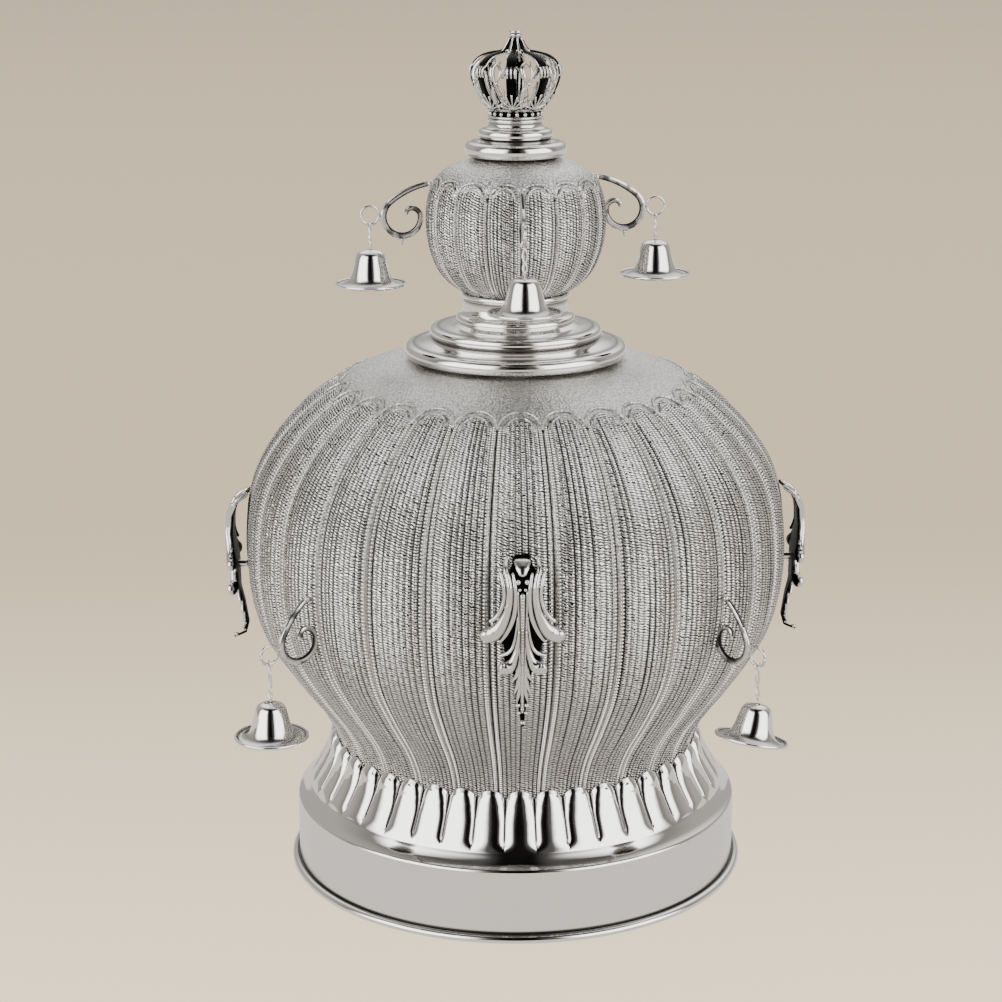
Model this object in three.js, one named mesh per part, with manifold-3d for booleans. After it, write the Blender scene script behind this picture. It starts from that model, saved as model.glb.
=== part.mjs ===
// A silver torah crown: a drum with a gadrooned shoulder carries a large lobed dome, a ringed neck,
// a small lobed bulb, a ringed cap and a small cast crown. Four cast leaves stand on the dome, and
// eight scroll brackets, four on the dome and four on the bulb, carry eight hanging bells.
// Lengths are in millimetres, +Z is up, the front leaf faces -Y, and the drum stands on z = 0.
import * as THREE from 'three';
import { mergeVertices } from 'three/addons/utils/BufferGeometryUtils.js';
import Module from 'manifold-3d';

const wasm = await Module();
wasm.setup();

// Sheet, fits and finish
const CLEARANCE = 0.3;
const SHEET = 0.8;
const WELD = 1e-5;

// Base: drum, rolled foot and gadroons
const DRUM_RADIUS = 90;
const DRUM_HEIGHT = 29.1;
const ROLL_OUT = 3;
const ROLL_HEIGHT = 3.4;
const FOOT_WIDTH = 3;
const SHOULDER_RADIUS = 84.5;
const SHOULDER_RISE = 5.2;
const GADROONS = 42;
const GADROON_RISE = 21;
const GADROON_DEPTH = 1.9;
const GADROON_ARCH = 2.6;
const MOUTH_LIP = 0.9;

// Dome
const DOME_RADIUS = 107.9;
const DOME_FOOT_RADIUS = 72.4;
const DOME_TOP_RADIUS = 38;
const DOME_BOTTOM = 44.6;
const DOME_RISE = 165.3;
const DOME_LOBES = 28;
const DOME_GROOVE = 2.2;

// Neck
const NECK_RING_RADII = [44, 33.8, 23.3];
const NECK_RING_THICKNESSES = [5.4, 4.1, 3.6];
const NECK_STEPS = [2.2, 1.1];
const COLLAR_RADIUS = 21.1;
const COLLAR_RISE = 9.4;

// Bulb
const BULB_RADIUS = 35;
const BULB_FOOT_RADIUS = 20.6;
const BULB_TOP_RADIUS = 15.6;
const BULB_RISE = 52.2;
const BULB_LOBES = 16;
const BULB_GROOVE = 1;
const BULB_TURN = THREE.MathUtils.degToRad(2.6);

// Cap
const CAP_RING_RADII = [19.9, 14.5];
const CAP_RING_THICKNESSES = [5.8, 3.7];
const CAP_STEP = 1;
const CAP_COLLAR_RADIUS = 11;
const CAP_COLLAR_RISE = 4;

// Small cast crown
const FINIAL_RING_RADIUS = 10.6;
const FINIAL_RING_WIDTH = 2;
const FINIAL_BEAD_DEPTH = 0.7;
const FINIAL_RING_HEIGHT = 3.6;
const FINIAL_BEADS = 9;
const FINIAL_ARCHES = 8;
const FINIAL_RADIUS = 17.2;
const FINIAL_RISE = 23.6;
const ARCH_WIDTH = 3.8;
const ARCH_SHELL_WIDTH = 7.6;
const ARCH_THICKNESS = 1.6;
const SPIRE_RISE = 9.7;
const SPOOL_RADIUS = 2.5;
const FINIAL_TURN = THREE.MathUtils.degToRad(-7);

// Brackets and their eyes
const SCROLL_ARM_RADIUS = 32.5;
const SCROLL_BOWL_RADIUS = 7.2;
const SCROLL_WIDTH = 2.2;
const SCROLL_THICKNESS = 1.9;
const EYE_RADIUS = 3.55;
const EYE_WIRE = 1.1;
const EYE_STUB = 1.3;
const EYE_DIP = 1.1;
const BRACKET_DROP_RADIUS = 1.3;
const BRACKET_DROP_RISE = 4.4;
const PEG_WIDTH = 1.5;
const UPPER_BRACKET_RISE = 44.3;
const UPPER_BRACKET_PITCH = THREE.MathUtils.degToRad(-9);
const LOWER_BRACKET_RISE = 88.4;
const LOWER_BRACKET_PITCH = THREE.MathUtils.degToRad(-36);

// Bells and the wire that hangs them
const BELL_RIM_RADIUS = 14;
const BELL_BODY_RADIUS = 8.2;
const BELL_TOP_RADIUS = 5.4;
const BELL_HEIGHT = 14.6;
const BELL_WALL = 0.8;
const LINK_WIRE = 0.9;
const LINK_LOOP_RADIUS = 1.35;
const UPPER_LINK_DROP = 8.4;
const LOWER_LINK_DROP = 13.5;

// Leaves
const LEAF_TAIL_RISE = 50.6;
const LEAF_RISE = 62;
const LEAF_STAND_OFF = 5.9;
const LEAF_THICKNESS = 2;
const LEAF_POST_WIDTH = 3;
const LEAF_POST_SHARE = 0.5;

const TURN = 2 * Math.PI;

// Materials
const finishes = {
  polished: { color: 0xe4e4e2, roughness: 0.16, metalness: 1 },
  chased: { color: 0xcfcfcc, roughness: 0.42, metalness: 1 },
  cast: { color: 0xa9a9a6, roughness: 0.36, metalness: 1 },
};

function silver(finish) {
  return new THREE.MeshStandardMaterial(finishes[finish]);
}

// A point at a radius, azimuth and height; azimuth 0 faces -Y and grows towards +X.
function polar(radius, azimuth, height) {
  return new THREE.Vector3(radius * Math.sin(azimuth), -radius * Math.cos(azimuth), height);
}

// Turns a closed outline of { r, h } around +Z, up its outside and down its inside. Every second
// column is a groove: it lies "groove" further in and "drop" lower than the columns beside it.
function revolve(outline, columns, turn = 0) {
  const loop = [...outline, outline[0]];
  const geometry = new THREE.LatheGeometry(loop.map((p) => new THREE.Vector2(p.r, p.h)), columns);
  const position = geometry.getAttribute('position');
  for (let i = 0; i < position.count; i++) {
    const column = Math.floor(i / loop.length) % columns;
    const { r, h, groove = 0, drop = 0 } = loop[i % loop.length];
    const inGroove = column % 2;
    const place = polar(r - inGroove * groove, turn + (column * TURN) / columns, h - inGroove * drop);
    position.setXYZ(i, place.x, place.y, place.z);
  }
  return welded(geometry);
}

function welded(geometry) {
  geometry.deleteAttribute('normal');
  geometry.deleteAttribute('uv');
  const whole = mergeVertices(geometry, WELD);
  whole.computeVertexNormals();
  return whole;
}

// A tapering bar along points. "across" is the direction of its thickness at each point.
function bar(points, sides, halfWidthAt, halfThicknessAt, acrossAt) {
  const steps = points.length - 1;
  const turned = sides === 4 ? Math.PI / 4 : 0;
  const corner = sides === 4 ? Math.SQRT2 : 1;
  const geometry = new THREE.CylinderGeometry(corner, corner, steps, sides, steps, false, turned);
  const position = geometry.getAttribute('position');
  for (let i = 0; i < position.count; i++) {
    const step = Math.round(position.getY(i) + steps / 2);
    const along = points[Math.min(step + 1, steps)].clone().sub(points[Math.max(step - 1, 0)]);
    const across = acrossAt(step / steps);
    const side = along.clone().cross(across).normalize();
    const place = points[step].clone();
    place.addScaledVector(side, position.getX(i) * halfWidthAt(step / steps));
    place.addScaledVector(across, position.getZ(i) * halfThicknessAt(step / steps));
    position.setXYZ(i, place.x, place.y, place.z);
  }
  return welded(geometry);
}

function toSolid(geometry) {
  const plain = geometry.index ? geometry : mergeVertices(geometry);
  return new wasm.Manifold(new wasm.Mesh({
    numProp: 3,
    vertProperties: new Float32Array(plain.getAttribute('position').array),
    triVerts: new Uint32Array(plain.index.array),
  }));
}

function toGeometry(solid) {
  const mesh = solid.getMesh();
  const geometry = new THREE.BufferGeometry();
  geometry.setAttribute('position', new THREE.BufferAttribute(new Float32Array(mesh.vertProperties), 3));
  geometry.setIndex(new THREE.BufferAttribute(new Uint32Array(mesh.triVerts), 1));
  geometry.computeVertexNormals();
  return geometry;
}

function joined(geometries) {
  return toGeometry(geometries.map(toSolid).reduce((whole, next) => whole.add(next)));
}

// Points along a chain of arcs in a plane, from a start and a heading; a negative sweep turns right.
function arcChain(start, heading, arcs) {
  const points = [start.clone()];
  let angle = heading;
  for (const { radius, sweep, steps } of arcs) {
    const bend = sweep / steps;
    const chord = 2 * radius * Math.sin(Math.abs(bend) / 2);
    for (let step = 0; step < steps; step++) {
      const direction = angle + bend / 2;
      const hop = new THREE.Vector2(Math.cos(direction), Math.sin(direction)).multiplyScalar(chord);
      points.push(points[points.length - 1].clone().add(hop));
      angle += bend;
    }
  }
  return points;
}

// Outline of the dome over its crests, from foot to top: height as a share of the dome's rise, and
// radius as a share of its belly. The foot and the top have radii of their own.
const domeTop = DOME_BOTTOM + DOME_RISE;
const domeOutline = [
  [0, DOME_FOOT_RADIUS / DOME_RADIUS],
  [0.068, 0.682],
  [0.14, 0.734],
  [0.24, 0.847],
  [0.34, 0.942],
  [0.45, 0.99],
  [0.58, 0.999],
  [0.71, 0.967],
  [0.82, 0.872],
  [0.91, 0.732],
  [0.975, 0.555],
  [1, DOME_TOP_RADIUS / DOME_RADIUS],
].map(([rise, share]) => ({ r: share * DOME_RADIUS, h: DOME_BOTTOM + rise * DOME_RISE }));

// Outline of the bulb over its crests, in the same way.
const neckBottom = domeTop + CLEARANCE;
const neckTop = neckBottom + NECK_RING_THICKNESSES.reduce((sum, next) => sum + next)
  + NECK_STEPS.reduce((sum, next) => sum + next) + COLLAR_RISE;
const bulbBottom = neckTop + CLEARANCE;
const bulbTop = bulbBottom + BULB_RISE;
const bulbOutline = [
  [0, BULB_FOOT_RADIUS / BULB_RADIUS],
  [0.1, 0.785],
  [0.22, 0.905],
  [0.38, 0.98],
  [0.54, 1],
  [0.7, 0.978],
  [0.83, 0.9],
  [0.93, 0.735],
  [1, BULB_TOP_RADIUS / BULB_RADIUS],
].map(([rise, share]) => ({ r: share * BULB_RADIUS, h: bulbBottom + rise * BULB_RISE }));

// Radius of an outline at a height; "grooveShare" is 0 over its crests and 1 down in its grooves.
function radiusAt(outline, height, grooveShare = 0) {
  const next = Math.max(1, outline.findIndex((p) => p.h >= height));
  const [low, high] = [outline[next - 1], outline[next]];
  const radius = (p) => p.r - grooveShare * (p.groove ?? 0);
  return THREE.MathUtils.mapLinear(height, low.h, high.h, radius(low), radius(high));
}

// How far an azimuth lies from the crest of its lobe, with 1 in the groove between two lobes
function grooveShareAt(azimuth, lobes, turn) {
  const place = ((azimuth - turn) * lobes) / TURN;
  return 2 * Math.abs(place - Math.round(place));
}

// Depth of a form's grooves at each point of its outline: they fade out towards both ends.
function withGrooves(outline, grooveDepth, grooveEnds) {
  const bottom = outline[0].h;
  const rise = outline[outline.length - 1].h - bottom;
  const [fadeLow, fadeHigh] = grooveEnds;
  return outline.map((p) => {
    const share = (p.h - bottom) / rise;
    const low = THREE.MathUtils.smoothstep(share, 0, fadeLow);
    const high = 1 - THREE.MathUtils.smoothstep(share, fadeHigh, 1);
    return { ...p, groove: grooveDepth * (0.25 + 0.75 * low) * high };
  });
}

// A lobed shell: its outer points, and inside them the same outline one sheet further in, with every
// point of the hollow foot and every second point of the round belly.
function lobedShell(outer, lobes, turn, footPoints) {
  const last = outer.length - 1;
  const inner = [{ ...outer[last], h: outer[last].h - SHEET }];
  for (let i = last - 2; i > 0; i -= i > footPoints ? 2 : 1) {
    const slope = new THREE.Vector2(outer[i + 1].r - outer[i - 1].r, outer[i + 1].h - outer[i - 1].h);
    slope.normalize();
    const { r, h, groove } = outer[i];
    inner.push({ r: r - SHEET * slope.y, h: h + SHEET * slope.x, groove });
  }
  inner.push({ ...outer[0], r: outer[0].r - SHEET });
  return revolve([...outer, ...inner], 2 * lobes, turn);
}

const parts = new THREE.Group();

function add(name, geometry, finish, parent = parts) {
  const mesh = new THREE.Mesh(geometry, silver(finish));
  mesh.name = name;
  parent.add(mesh);
  return mesh;
}

// Base: rolled foot, drum, shoulder and a flare of gadroons that closes round the dome's foot
function base() {
  const shoulder = DRUM_HEIGHT + SHOULDER_RISE;
  const top = shoulder + GADROON_RISE;
  const mouth = radiusAt(domeOutline, top) + CLEARANCE;
  const flare = SHOULDER_RADIUS - mouth - MOUTH_LIP;
  const gadroon = (rise, share, depth, arch = 0) => ({
    r: mouth + MOUTH_LIP + flare * share,
    h: shoulder + GADROON_RISE * rise,
    groove: GADROON_DEPTH * depth,
    drop: GADROON_ARCH * arch,
  });
  const outside = [
    { r: DRUM_RADIUS - SHEET, h: 0 },
    { r: DRUM_RADIUS - SHEET + FOOT_WIDTH, h: 0 },
    { r: DRUM_RADIUS + ROLL_OUT, h: ROLL_HEIGHT / 2 },
    { r: DRUM_RADIUS, h: ROLL_HEIGHT },
    { r: DRUM_RADIUS, h: DRUM_HEIGHT },
    gadroon(0, 1, 0),
    gadroon(0.25, 0.73, 0.8),
    gadroon(0.6, 0.33, 1),
    gadroon(1, 0, 0.4, 1),
  ];
  const inside = [
    { r: mouth, h: top, drop: GADROON_ARCH },
    { r: SHOULDER_RADIUS - 3 * SHEET - GADROON_DEPTH, h: shoulder },
    { r: DRUM_RADIUS - SHEET, h: DRUM_HEIGHT - 2 * SHEET },
  ];
  add('base', revolve([...outside, ...inside], 2 * GADROONS), 'polished');
}

// Half-round rings of a spun neck or cap, stacked from a height upwards: each is full over its
// middle, and leans in by a share of its half thickness at its foot and its top.
function ringStack(bottom, radii, thicknesses, steps) {
  const outline = [];
  let height = bottom;
  radii.forEach((radius, i) => {
    const half = thicknesses[i] / 2;
    outline.push({ r: radius - 0.6 * half, h: height });
    outline.push({ r: radius, h: height + 0.6 * half });
    outline.push({ r: radius, h: height + 1.4 * half });
    outline.push({ r: radius - 0.7 * half, h: height + 2 * half });
    height += thicknesses[i] + (steps[i] ?? 0);
  });
  return outline;
}

function neck() {
  const rings = ringStack(neckBottom, NECK_RING_RADII, NECK_RING_THICKNESSES, NECK_STEPS);
  const collarBottom = rings[rings.length - 1].h;
  const bore = COLLAR_RADIUS - SHEET;
  const outline = [
    ...rings,
    { r: COLLAR_RADIUS, h: collarBottom },
    { r: COLLAR_RADIUS, h: neckTop },
    { r: bore, h: neckTop },
    { r: bore, h: collarBottom - NECK_RING_THICKNESSES[2] },
    { r: NECK_RING_RADII[1] - NECK_RING_THICKNESSES[1], h: rings[7].h - SHEET },
    { r: NECK_RING_RADII[1] - NECK_RING_THICKNESSES[1], h: rings[4].h - SHEET },
    { r: NECK_RING_RADII[0] - NECK_RING_THICKNESSES[0], h: rings[3].h - 2 * SHEET },
    { r: NECK_RING_RADII[0] - NECK_RING_THICKNESSES[0], h: neckBottom },
  ];
  add('neck', revolve(outline, 18), 'polished');
}

const capBottom = bulbTop + CLEARANCE;
const capTop = capBottom + CAP_RING_THICKNESSES[0] + CAP_STEP + CAP_RING_THICKNESSES[1] + CAP_COLLAR_RISE;

function cap() {
  const rings = ringStack(capBottom, CAP_RING_RADII, CAP_RING_THICKNESSES, [CAP_STEP]);
  const collarBottom = rings[rings.length - 1].h;
  const bore = CAP_COLLAR_RADIUS - SHEET;
  const outline = [
    ...rings,
    { r: CAP_COLLAR_RADIUS, h: collarBottom },
    { r: CAP_COLLAR_RADIUS, h: capTop },
    { r: bore, h: capTop },
    { r: bore, h: rings[3].h },
    { r: CAP_RING_RADII[0] - CAP_RING_THICKNESSES[0], h: rings[3].h - 2 * SHEET },
    { r: CAP_RING_RADII[0] - CAP_RING_THICKNESSES[0], h: capBottom },
  ];
  add('cap', revolve(outline, 16), 'polished');
}

// Small cast crown: its arches rise from a beaded ring, swell, turn in and meet under the spire
function finialCrown() {
  const ringBottom = capTop + CLEARANCE;
  const ringTop = ringBottom + FINIAL_RING_HEIGHT;
  const ringInside = FINIAL_RING_RADIUS - FINIAL_RING_WIDTH;
  const ring = revolve([
    { r: ringInside, h: ringBottom },
    { r: FINIAL_RING_RADIUS, h: ringBottom, groove: FINIAL_BEAD_DEPTH },
    { r: FINIAL_RING_RADIUS + FINIAL_BEAD_DEPTH / 2, h: ringTop },
    { r: ringInside, h: ringTop },
  ], 2 * FINIAL_BEADS);
  const archOutline = [
    [0.57, -0.02],
    [0.82, 0.23],
    [1, 0.5],
    [0.87, 0.79],
    [0.55, 0.86],
    [0.16, 0.83],
  ];
  const arches = [];
  for (let i = 0; i < FINIAL_ARCHES; i++) {
    const azimuth = FINIAL_TURN + (i * TURN) / FINIAL_ARCHES;
    const last = archOutline.length - 1;
    const points = archOutline.map(([out, up]) => (
      polar(FINIAL_RADIUS * out, azimuth, ringTop + FINIAL_RISE * up)));
    const bulge = (t) => Math.exp(-(((t - 0.2) / 0.1) ** 2));
    const width = (t) => ARCH_WIDTH + (ARCH_SHELL_WIDTH - ARCH_WIDTH) * bulge(t);
    const halfWidth = (t) => width(t) * (t > 0.9 ? 0.2 : 0.5);
    const across = points.map((p, k) => {
      const along = points[Math.min(k + 1, last)].clone().sub(points[Math.max(k - 1, 0)]);
      return polar(1, azimuth + Math.PI / 2, 0).cross(along).normalize();
    });
    const thickness = () => ARCH_THICKNESS / 2;
    arches.push(bar(points, 3, halfWidth, thickness, (t) => across[Math.round(t * last)]));
  }
  const spireBottom = ringTop + FINIAL_RISE * 0.78;
  const spireTop = ringTop + FINIAL_RISE * 0.83 + SPIRE_RISE;
  const spireAt = (share) => THREE.MathUtils.lerp(spireBottom, spireTop, share);
  const spire = revolve([
    { r: 0, h: spireBottom },
    { r: 2.6 * SPOOL_RADIUS, h: spireAt(0.09) },
    { r: 1.4 * SPOOL_RADIUS, h: spireAt(0.33) },
    { r: 0.85 * SPOOL_RADIUS, h: spireAt(0.7) },
    { r: SPOOL_RADIUS, h: spireAt(0.72) },
    { r: SPOOL_RADIUS, h: spireTop },
    { r: 0, h: spireTop },
  ], 8);
  add('finial_crown', joined([ring, ...arches, spire]), 'cast');
}

// Scroll bracket in the plane of one azimuth: an arm, a bowl, a small spiral and an eye. Its own
// frame starts at the foot of the arm, with x outward and z up, and the arm leaves at "pitch".
const scrollArcs = [
  { radius: SCROLL_ARM_RADIUS, sweep: -0.54, steps: 2 },
  { radius: SCROLL_BOWL_RADIUS, sweep: -2.44, steps: 4 },
  { radius: 0.97 * SCROLL_BOWL_RADIUS, sweep: -Math.PI / 2, steps: 2 },
  { radius: 0.47 * SCROLL_BOWL_RADIUS, sweep: -Math.PI / 2, steps: 1 },
  { radius: 0.28 * SCROLL_BOWL_RADIUS, sweep: -Math.PI / 2, steps: 1 },
];

function scrollHalfWidth(t) {
  return (SCROLL_WIDTH / 2) * (0.45 + 0.55 * Math.sin(Math.PI * Math.min(1, 0.12 + 0.88 * t)) ** 0.7);
}

function scrollPoints(pitch) {
  return arcChain(new THREE.Vector2(0, 0), pitch, scrollArcs);
}

// The eye stands off the outside of the bowl on a short stub.
function outermost(pitch) {
  return scrollPoints(pitch).reduce((far, p) => (p.x > far.x ? p : far));
}

function eyeCentre(pitch) {
  const reach = 0.4 * SCROLL_WIDTH + EYE_STUB + EYE_RADIUS;
  return outermost(pitch).add(new THREE.Vector2(reach, -EYE_DIP));
}

function bracket(pitch, footGap) {
  const sideways = new THREE.Vector3(0, 1, 0);
  const flat = scrollPoints(pitch);
  const points = flat.map((p) => new THREE.Vector3(p.x, 0, p.y));
  const scroll = bar(points, 4, scrollHalfWidth, () => SCROLL_THICKNESS / 2, () => sideways);
  const eye = new THREE.TorusGeometry(EYE_RADIUS, EYE_WIRE / 2, 3, 8);
  eye.rotateX(Math.PI / 2);
  const centre = eyeCentre(pitch);
  eye.translate(centre.x, 0, centre.y);
  const root = outermost(pitch);
  const stub = new THREE.BoxGeometry(SCROLL_WIDTH + EYE_STUB, EYE_WIRE, EYE_WIRE);
  stub.translate(root.x + (SCROLL_WIDTH + EYE_STUB) / 2, 0, root.y - EYE_DIP);
  const drop = new THREE.ConeGeometry(BRACKET_DROP_RADIUS, BRACKET_DROP_RISE, 3);
  drop.rotateX(-Math.PI / 2);
  const lowest = flat.reduce((low, p) => (p.y < low.y ? p : low));
  drop.translate(lowest.x, 0, lowest.y - 0.6 * BRACKET_DROP_RISE);
  const pegLength = footGap + SCROLL_WIDTH / 2;
  const peg = new THREE.BoxGeometry(pegLength, PEG_WIDTH, PEG_WIDTH);
  peg.translate(SCROLL_WIDTH / 2 - pegLength / 2, 0, 0);
  return joined([scroll, welded(eye), welded(stub), welded(drop), welded(peg)]);
}

// Bell hanging below z = 0, hollow, with a hole for the wire in its top
function bell() {
  const hole = LINK_WIRE / 2 + CLEARANCE;
  const outline = [
    { r: BELL_RIM_RADIUS, h: -0.97 * BELL_HEIGHT },
    { r: BELL_RIM_RADIUS - 0.5, h: -0.91 * BELL_HEIGHT },
    { r: BELL_BODY_RADIUS, h: -0.9 * BELL_HEIGHT },
    { r: BELL_TOP_RADIUS, h: -0.12 * BELL_HEIGHT },
    { r: hole, h: 0 },
    { r: hole, h: -BELL_WALL },
    { r: BELL_TOP_RADIUS - BELL_WALL, h: -0.12 * BELL_HEIGHT - BELL_WALL },
    { r: BELL_BODY_RADIUS - BELL_WALL, h: -BELL_HEIGHT },
  ];
  return revolve(outline, 8);
}

// Wire that hangs a bell whose top is at z = 0: a knot inside the bell, a stem through the hole in
// its top and a loop through the eye above
function link(drop) {
  const loopCentre = drop + LINK_LOOP_RADIUS;
  const knotTop = -BELL_WALL - CLEARANCE;
  const points = [
    new THREE.Vector3(0, 0, knotTop - 2 * LINK_WIRE),
    new THREE.Vector3(0, 0, knotTop - LINK_WIRE),
    new THREE.Vector3(0, 0, knotTop),
  ];
  const loopSteps = 6;
  for (let i = 0; i <= loopSteps; i++) {
    const angle = -Math.PI / 2 + (i * 1.7 * Math.PI) / loopSteps;
    const y = LINK_LOOP_RADIUS * Math.cos(angle);
    points.push(new THREE.Vector3(0, y, loopCentre + LINK_LOOP_RADIUS * Math.sin(angle)));
  }
  const thickness = (t) => (t < 0.15 ? LINK_WIRE : LINK_WIRE / 2);
  return bar(points, 3, thickness, thickness, () => new THREE.Vector3(1, 0, 0));
}

// A bracket with its link and bell: the foot of the arm stands at a radius, azimuth and height, and
// its peg reaches "footGap" further in, down to the groove that it stands over.
// "swing" turns the whole bracket about the foot, "lean" turns the wire, and "tilt" the bell.
// The brackets were fixed by hand, so a few stand a little lower or hold a longer wire.
function bellSet(level, side, place) {
  const { radius, azimuth, height, pitch, swing, drop, footGap, lean = 0, tilt = 0 } = place;
  const foot = new THREE.Group();
  foot.position.copy(polar(radius, azimuth, height));
  foot.rotation.z = azimuth - Math.PI / 2 + swing;
  parts.add(foot);
  add(`${level}_bracket_${side}`, bracket(pitch, footGap), 'cast', foot);
  const centre = eyeCentre(pitch);
  const hang = new THREE.Group();
  hang.position.set(centre.x, 0, centre.y - EYE_RADIUS + EYE_WIRE / 2 + CLEARANCE + LINK_WIRE / 2);
  hang.rotation.x = lean;
  foot.add(hang);
  const bellTop = new THREE.Group();
  bellTop.position.z = -(drop + 2 * LINK_LOOP_RADIUS);
  hang.add(bellTop);
  add(`${level}_link_${side}`, link(drop), 'polished', bellTop);
  add(`${level}_bell_${side}`, bell(), 'polished', bellTop).rotation.x = tilt;
}

function bellSets() {
  const degrees = THREE.MathUtils.degToRad;
  const footRoom = CLEARANCE + 0.3 * SCROLL_WIDTH;
  const pegRoom = 2 * CLEARANCE;
  const upper = [
    { side: 'front', azimuth: 0, swing: -1, lift: -2.4, slack: 1.9 },
    { side: 'right', azimuth: 90, swing: 4 },
    { side: 'back', azimuth: 180, swing: 0 },
    { side: 'left', azimuth: 270, swing: 4, lift: -2.2 },
  ];
  for (const { side, azimuth, swing, lift = 0, slack = 0 } of upper) {
    const height = bulbBottom + UPPER_BRACKET_RISE + lift;
    const radius = radiusAt(bulbOuter, height) + footRoom;
    const turned = BULB_TURN + degrees(azimuth);
    const grooveShare = grooveShareAt(turned, BULB_LOBES, bulbCrestTurn);
    const wall = radiusAt(bulbOuter, height - PEG_WIDTH / 2, grooveShare);
    bellSet('upper', side, {
      radius,
      azimuth: turned,
      height,
      footGap: radius - wall - pegRoom,
      pitch: UPPER_BRACKET_PITCH,
      swing: degrees(swing),
      drop: UPPER_LINK_DROP + slack,
    });
  }
  const lower = [
    { side: 'front_right', azimuth: 45, swing: -4, lean: 3, tilt: -16 },
    { side: 'back_right', azimuth: 135, swing: 0 },
    { side: 'back_left', azimuth: 225, swing: 0 },
    { side: 'front_left', azimuth: 313, swing: -9 },
  ];
  for (const { side, azimuth, swing, lean = 0, tilt = 0 } of lower) {
    const height = DOME_BOTTOM + LOWER_BRACKET_RISE;
    const radius = radiusAt(domeOuter, height) + footRoom;
    const turned = degrees(azimuth);
    const grooveShare = grooveShareAt(turned, DOME_LOBES, 0);
    const wall = radiusAt(domeOuter, height - PEG_WIDTH / 2, grooveShare);
    bellSet('lower', side, {
      radius,
      azimuth: turned,
      height,
      footGap: radius - wall - pegRoom,
      pitch: LOWER_BRACKET_PITCH,
      swing: degrees(swing),
      drop: LOWER_LINK_DROP,
      lean: degrees(lean),
      tilt: degrees(tilt),
    });
  }
}

// Leaf in its own frame: x across, z up from the foot of its tail, -y away from the dome. The leaf
// bows outward, measured from its middle, where its post reaches back to the dome, and its lobes
// leave the midrib in pairs. All of these are shares of the leaf's rise.
const leafBow = [
  [0, 0.04],
  [0.03, -0.036],
  [0.1, -0.055],
  [0.25, -0.029],
  [0.5, 0],
  [0.62, 0.018],
  [0.72, 0.029],
  [0.85, 0.02],
  [0.94, -0.018],
  [1, -0.093],
];

const leafLobes = [
  { across: [0.045, 0.07, 0.115], shares: [0.74, 0.9, 0.99], width: 2.2 },
  { across: [0.03, 0.1, 0.235], shares: [0.85, 0.63, 0.59], width: 3.6 },
  { across: [0.01, 0.05, 0.16], shares: [0.62, 0.44, 0.385], width: 2.8 },
  { across: [0.01, 0.085], shares: [0.38, 0.21], width: 2 },
];

function bowAt(share) {
  const next = Math.max(1, leafBow.findIndex(([rise]) => rise >= share));
  const [low, high] = [leafBow[next - 1], leafBow[next]];
  return THREE.MathUtils.mapLinear(share, low[0], high[0], low[1], high[1]);
}

function leaf(bottom) {
  const wall = radiusAt(domeOutline, bottom + LEAF_POST_SHARE * LEAF_RISE);
  const away = (share) => wall + LEAF_STAND_OFF + bowAt(share) * LEAF_RISE;
  const front = (across, share, behind = 0) => (
    new THREE.Vector3(across * LEAF_RISE, behind - away(share), bottom + share * LEAF_RISE));
  const outward = new THREE.Vector3(0, -1, 0);
  const half = LEAF_THICKNESS / 2;
  const ridge = () => half;
  const midrib = [0, 0.04, 0.2, 0.45, 0.7, 0.9].map((share) => front(0, share));
  const midribWidth = (t) => half * (0.8 + 2 * Math.sin(Math.PI * t) ** 2);
  const bars = [bar(midrib, 3, midribWidth, ridge, () => outward)];
  for (const { across, shares, width } of leafLobes) {
    for (const side of [-1, 1]) {
      const points = across.map((x, k) => front(side * x, shares[k], 18 * x * x * LEAF_THICKNESS));
      bars.push(bar(points, 3, (t) => half * width * (1 - 0.35 * t), ridge, () => outward));
    }
  }
  const postLength = LEAF_STAND_OFF - CLEARANCE;
  const post = new THREE.BoxGeometry(LEAF_POST_WIDTH, postLength, LEAF_POST_WIDTH);
  post.translate(0, -(wall + CLEARANCE + postLength / 2), bottom + LEAF_POST_SHARE * LEAF_RISE);
  return joined([...bars, welded(post)]);
}

function leaves() {
  const sides = [
    { side: 'front', azimuth: 0, lift: 2 },
    { side: 'right', azimuth: 90, lift: 0.6 },
    { side: 'back', azimuth: 180, lift: 0 },
    { side: 'left', azimuth: 270, lift: -1.2 },
  ];
  for (const { side, azimuth, lift } of sides) {
    const mesh = add(`leaf_${side}`, leaf(DOME_BOTTOM + LEAF_TAIL_RISE + lift), 'cast');
    mesh.rotation.z = THREE.MathUtils.degToRad(azimuth);
  }
}

const domeOuter = withGrooves(domeOutline, DOME_GROOVE, [0.3, 0.94]);
const bulbOuter = withGrooves(bulbOutline, BULB_GROOVE, [0.15, 0.84]);
const bulbCrestTurn = BULB_TURN + TURN / (2 * BULB_LOBES);

base();
add('dome', lobedShell(domeOuter, DOME_LOBES, 0, 3), 'chased');
neck();
add('bulb', lobedShell(bulbOuter, BULB_LOBES, bulbCrestTurn, 0), 'chased');
cap();
finialCrown();
bellSets();
leaves();

export default parts;
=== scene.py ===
# %% [markdown]
# A torah crown is a hollow ornament of sheet silver that sits on top of a scroll's rollers. This
# one has a drum with a gadrooned shoulder, a large lobed dome chased all over with corded ridges,
# a ringed neck, a small lobed bulb and a little cast crown on top. Eight bells hang from scroll
# brackets, and four cast leaves stand on the dome.
#
# The sizes come from the CAD model of the same object, which is loaded first. Each silver piece is
# then drawn again with the chasing, beads and castings that the CAD solids leave out.

# %% Load the CAD model
import math

import bmesh
import bpy
from mathutils import Matrix, Vector, noise


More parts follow.
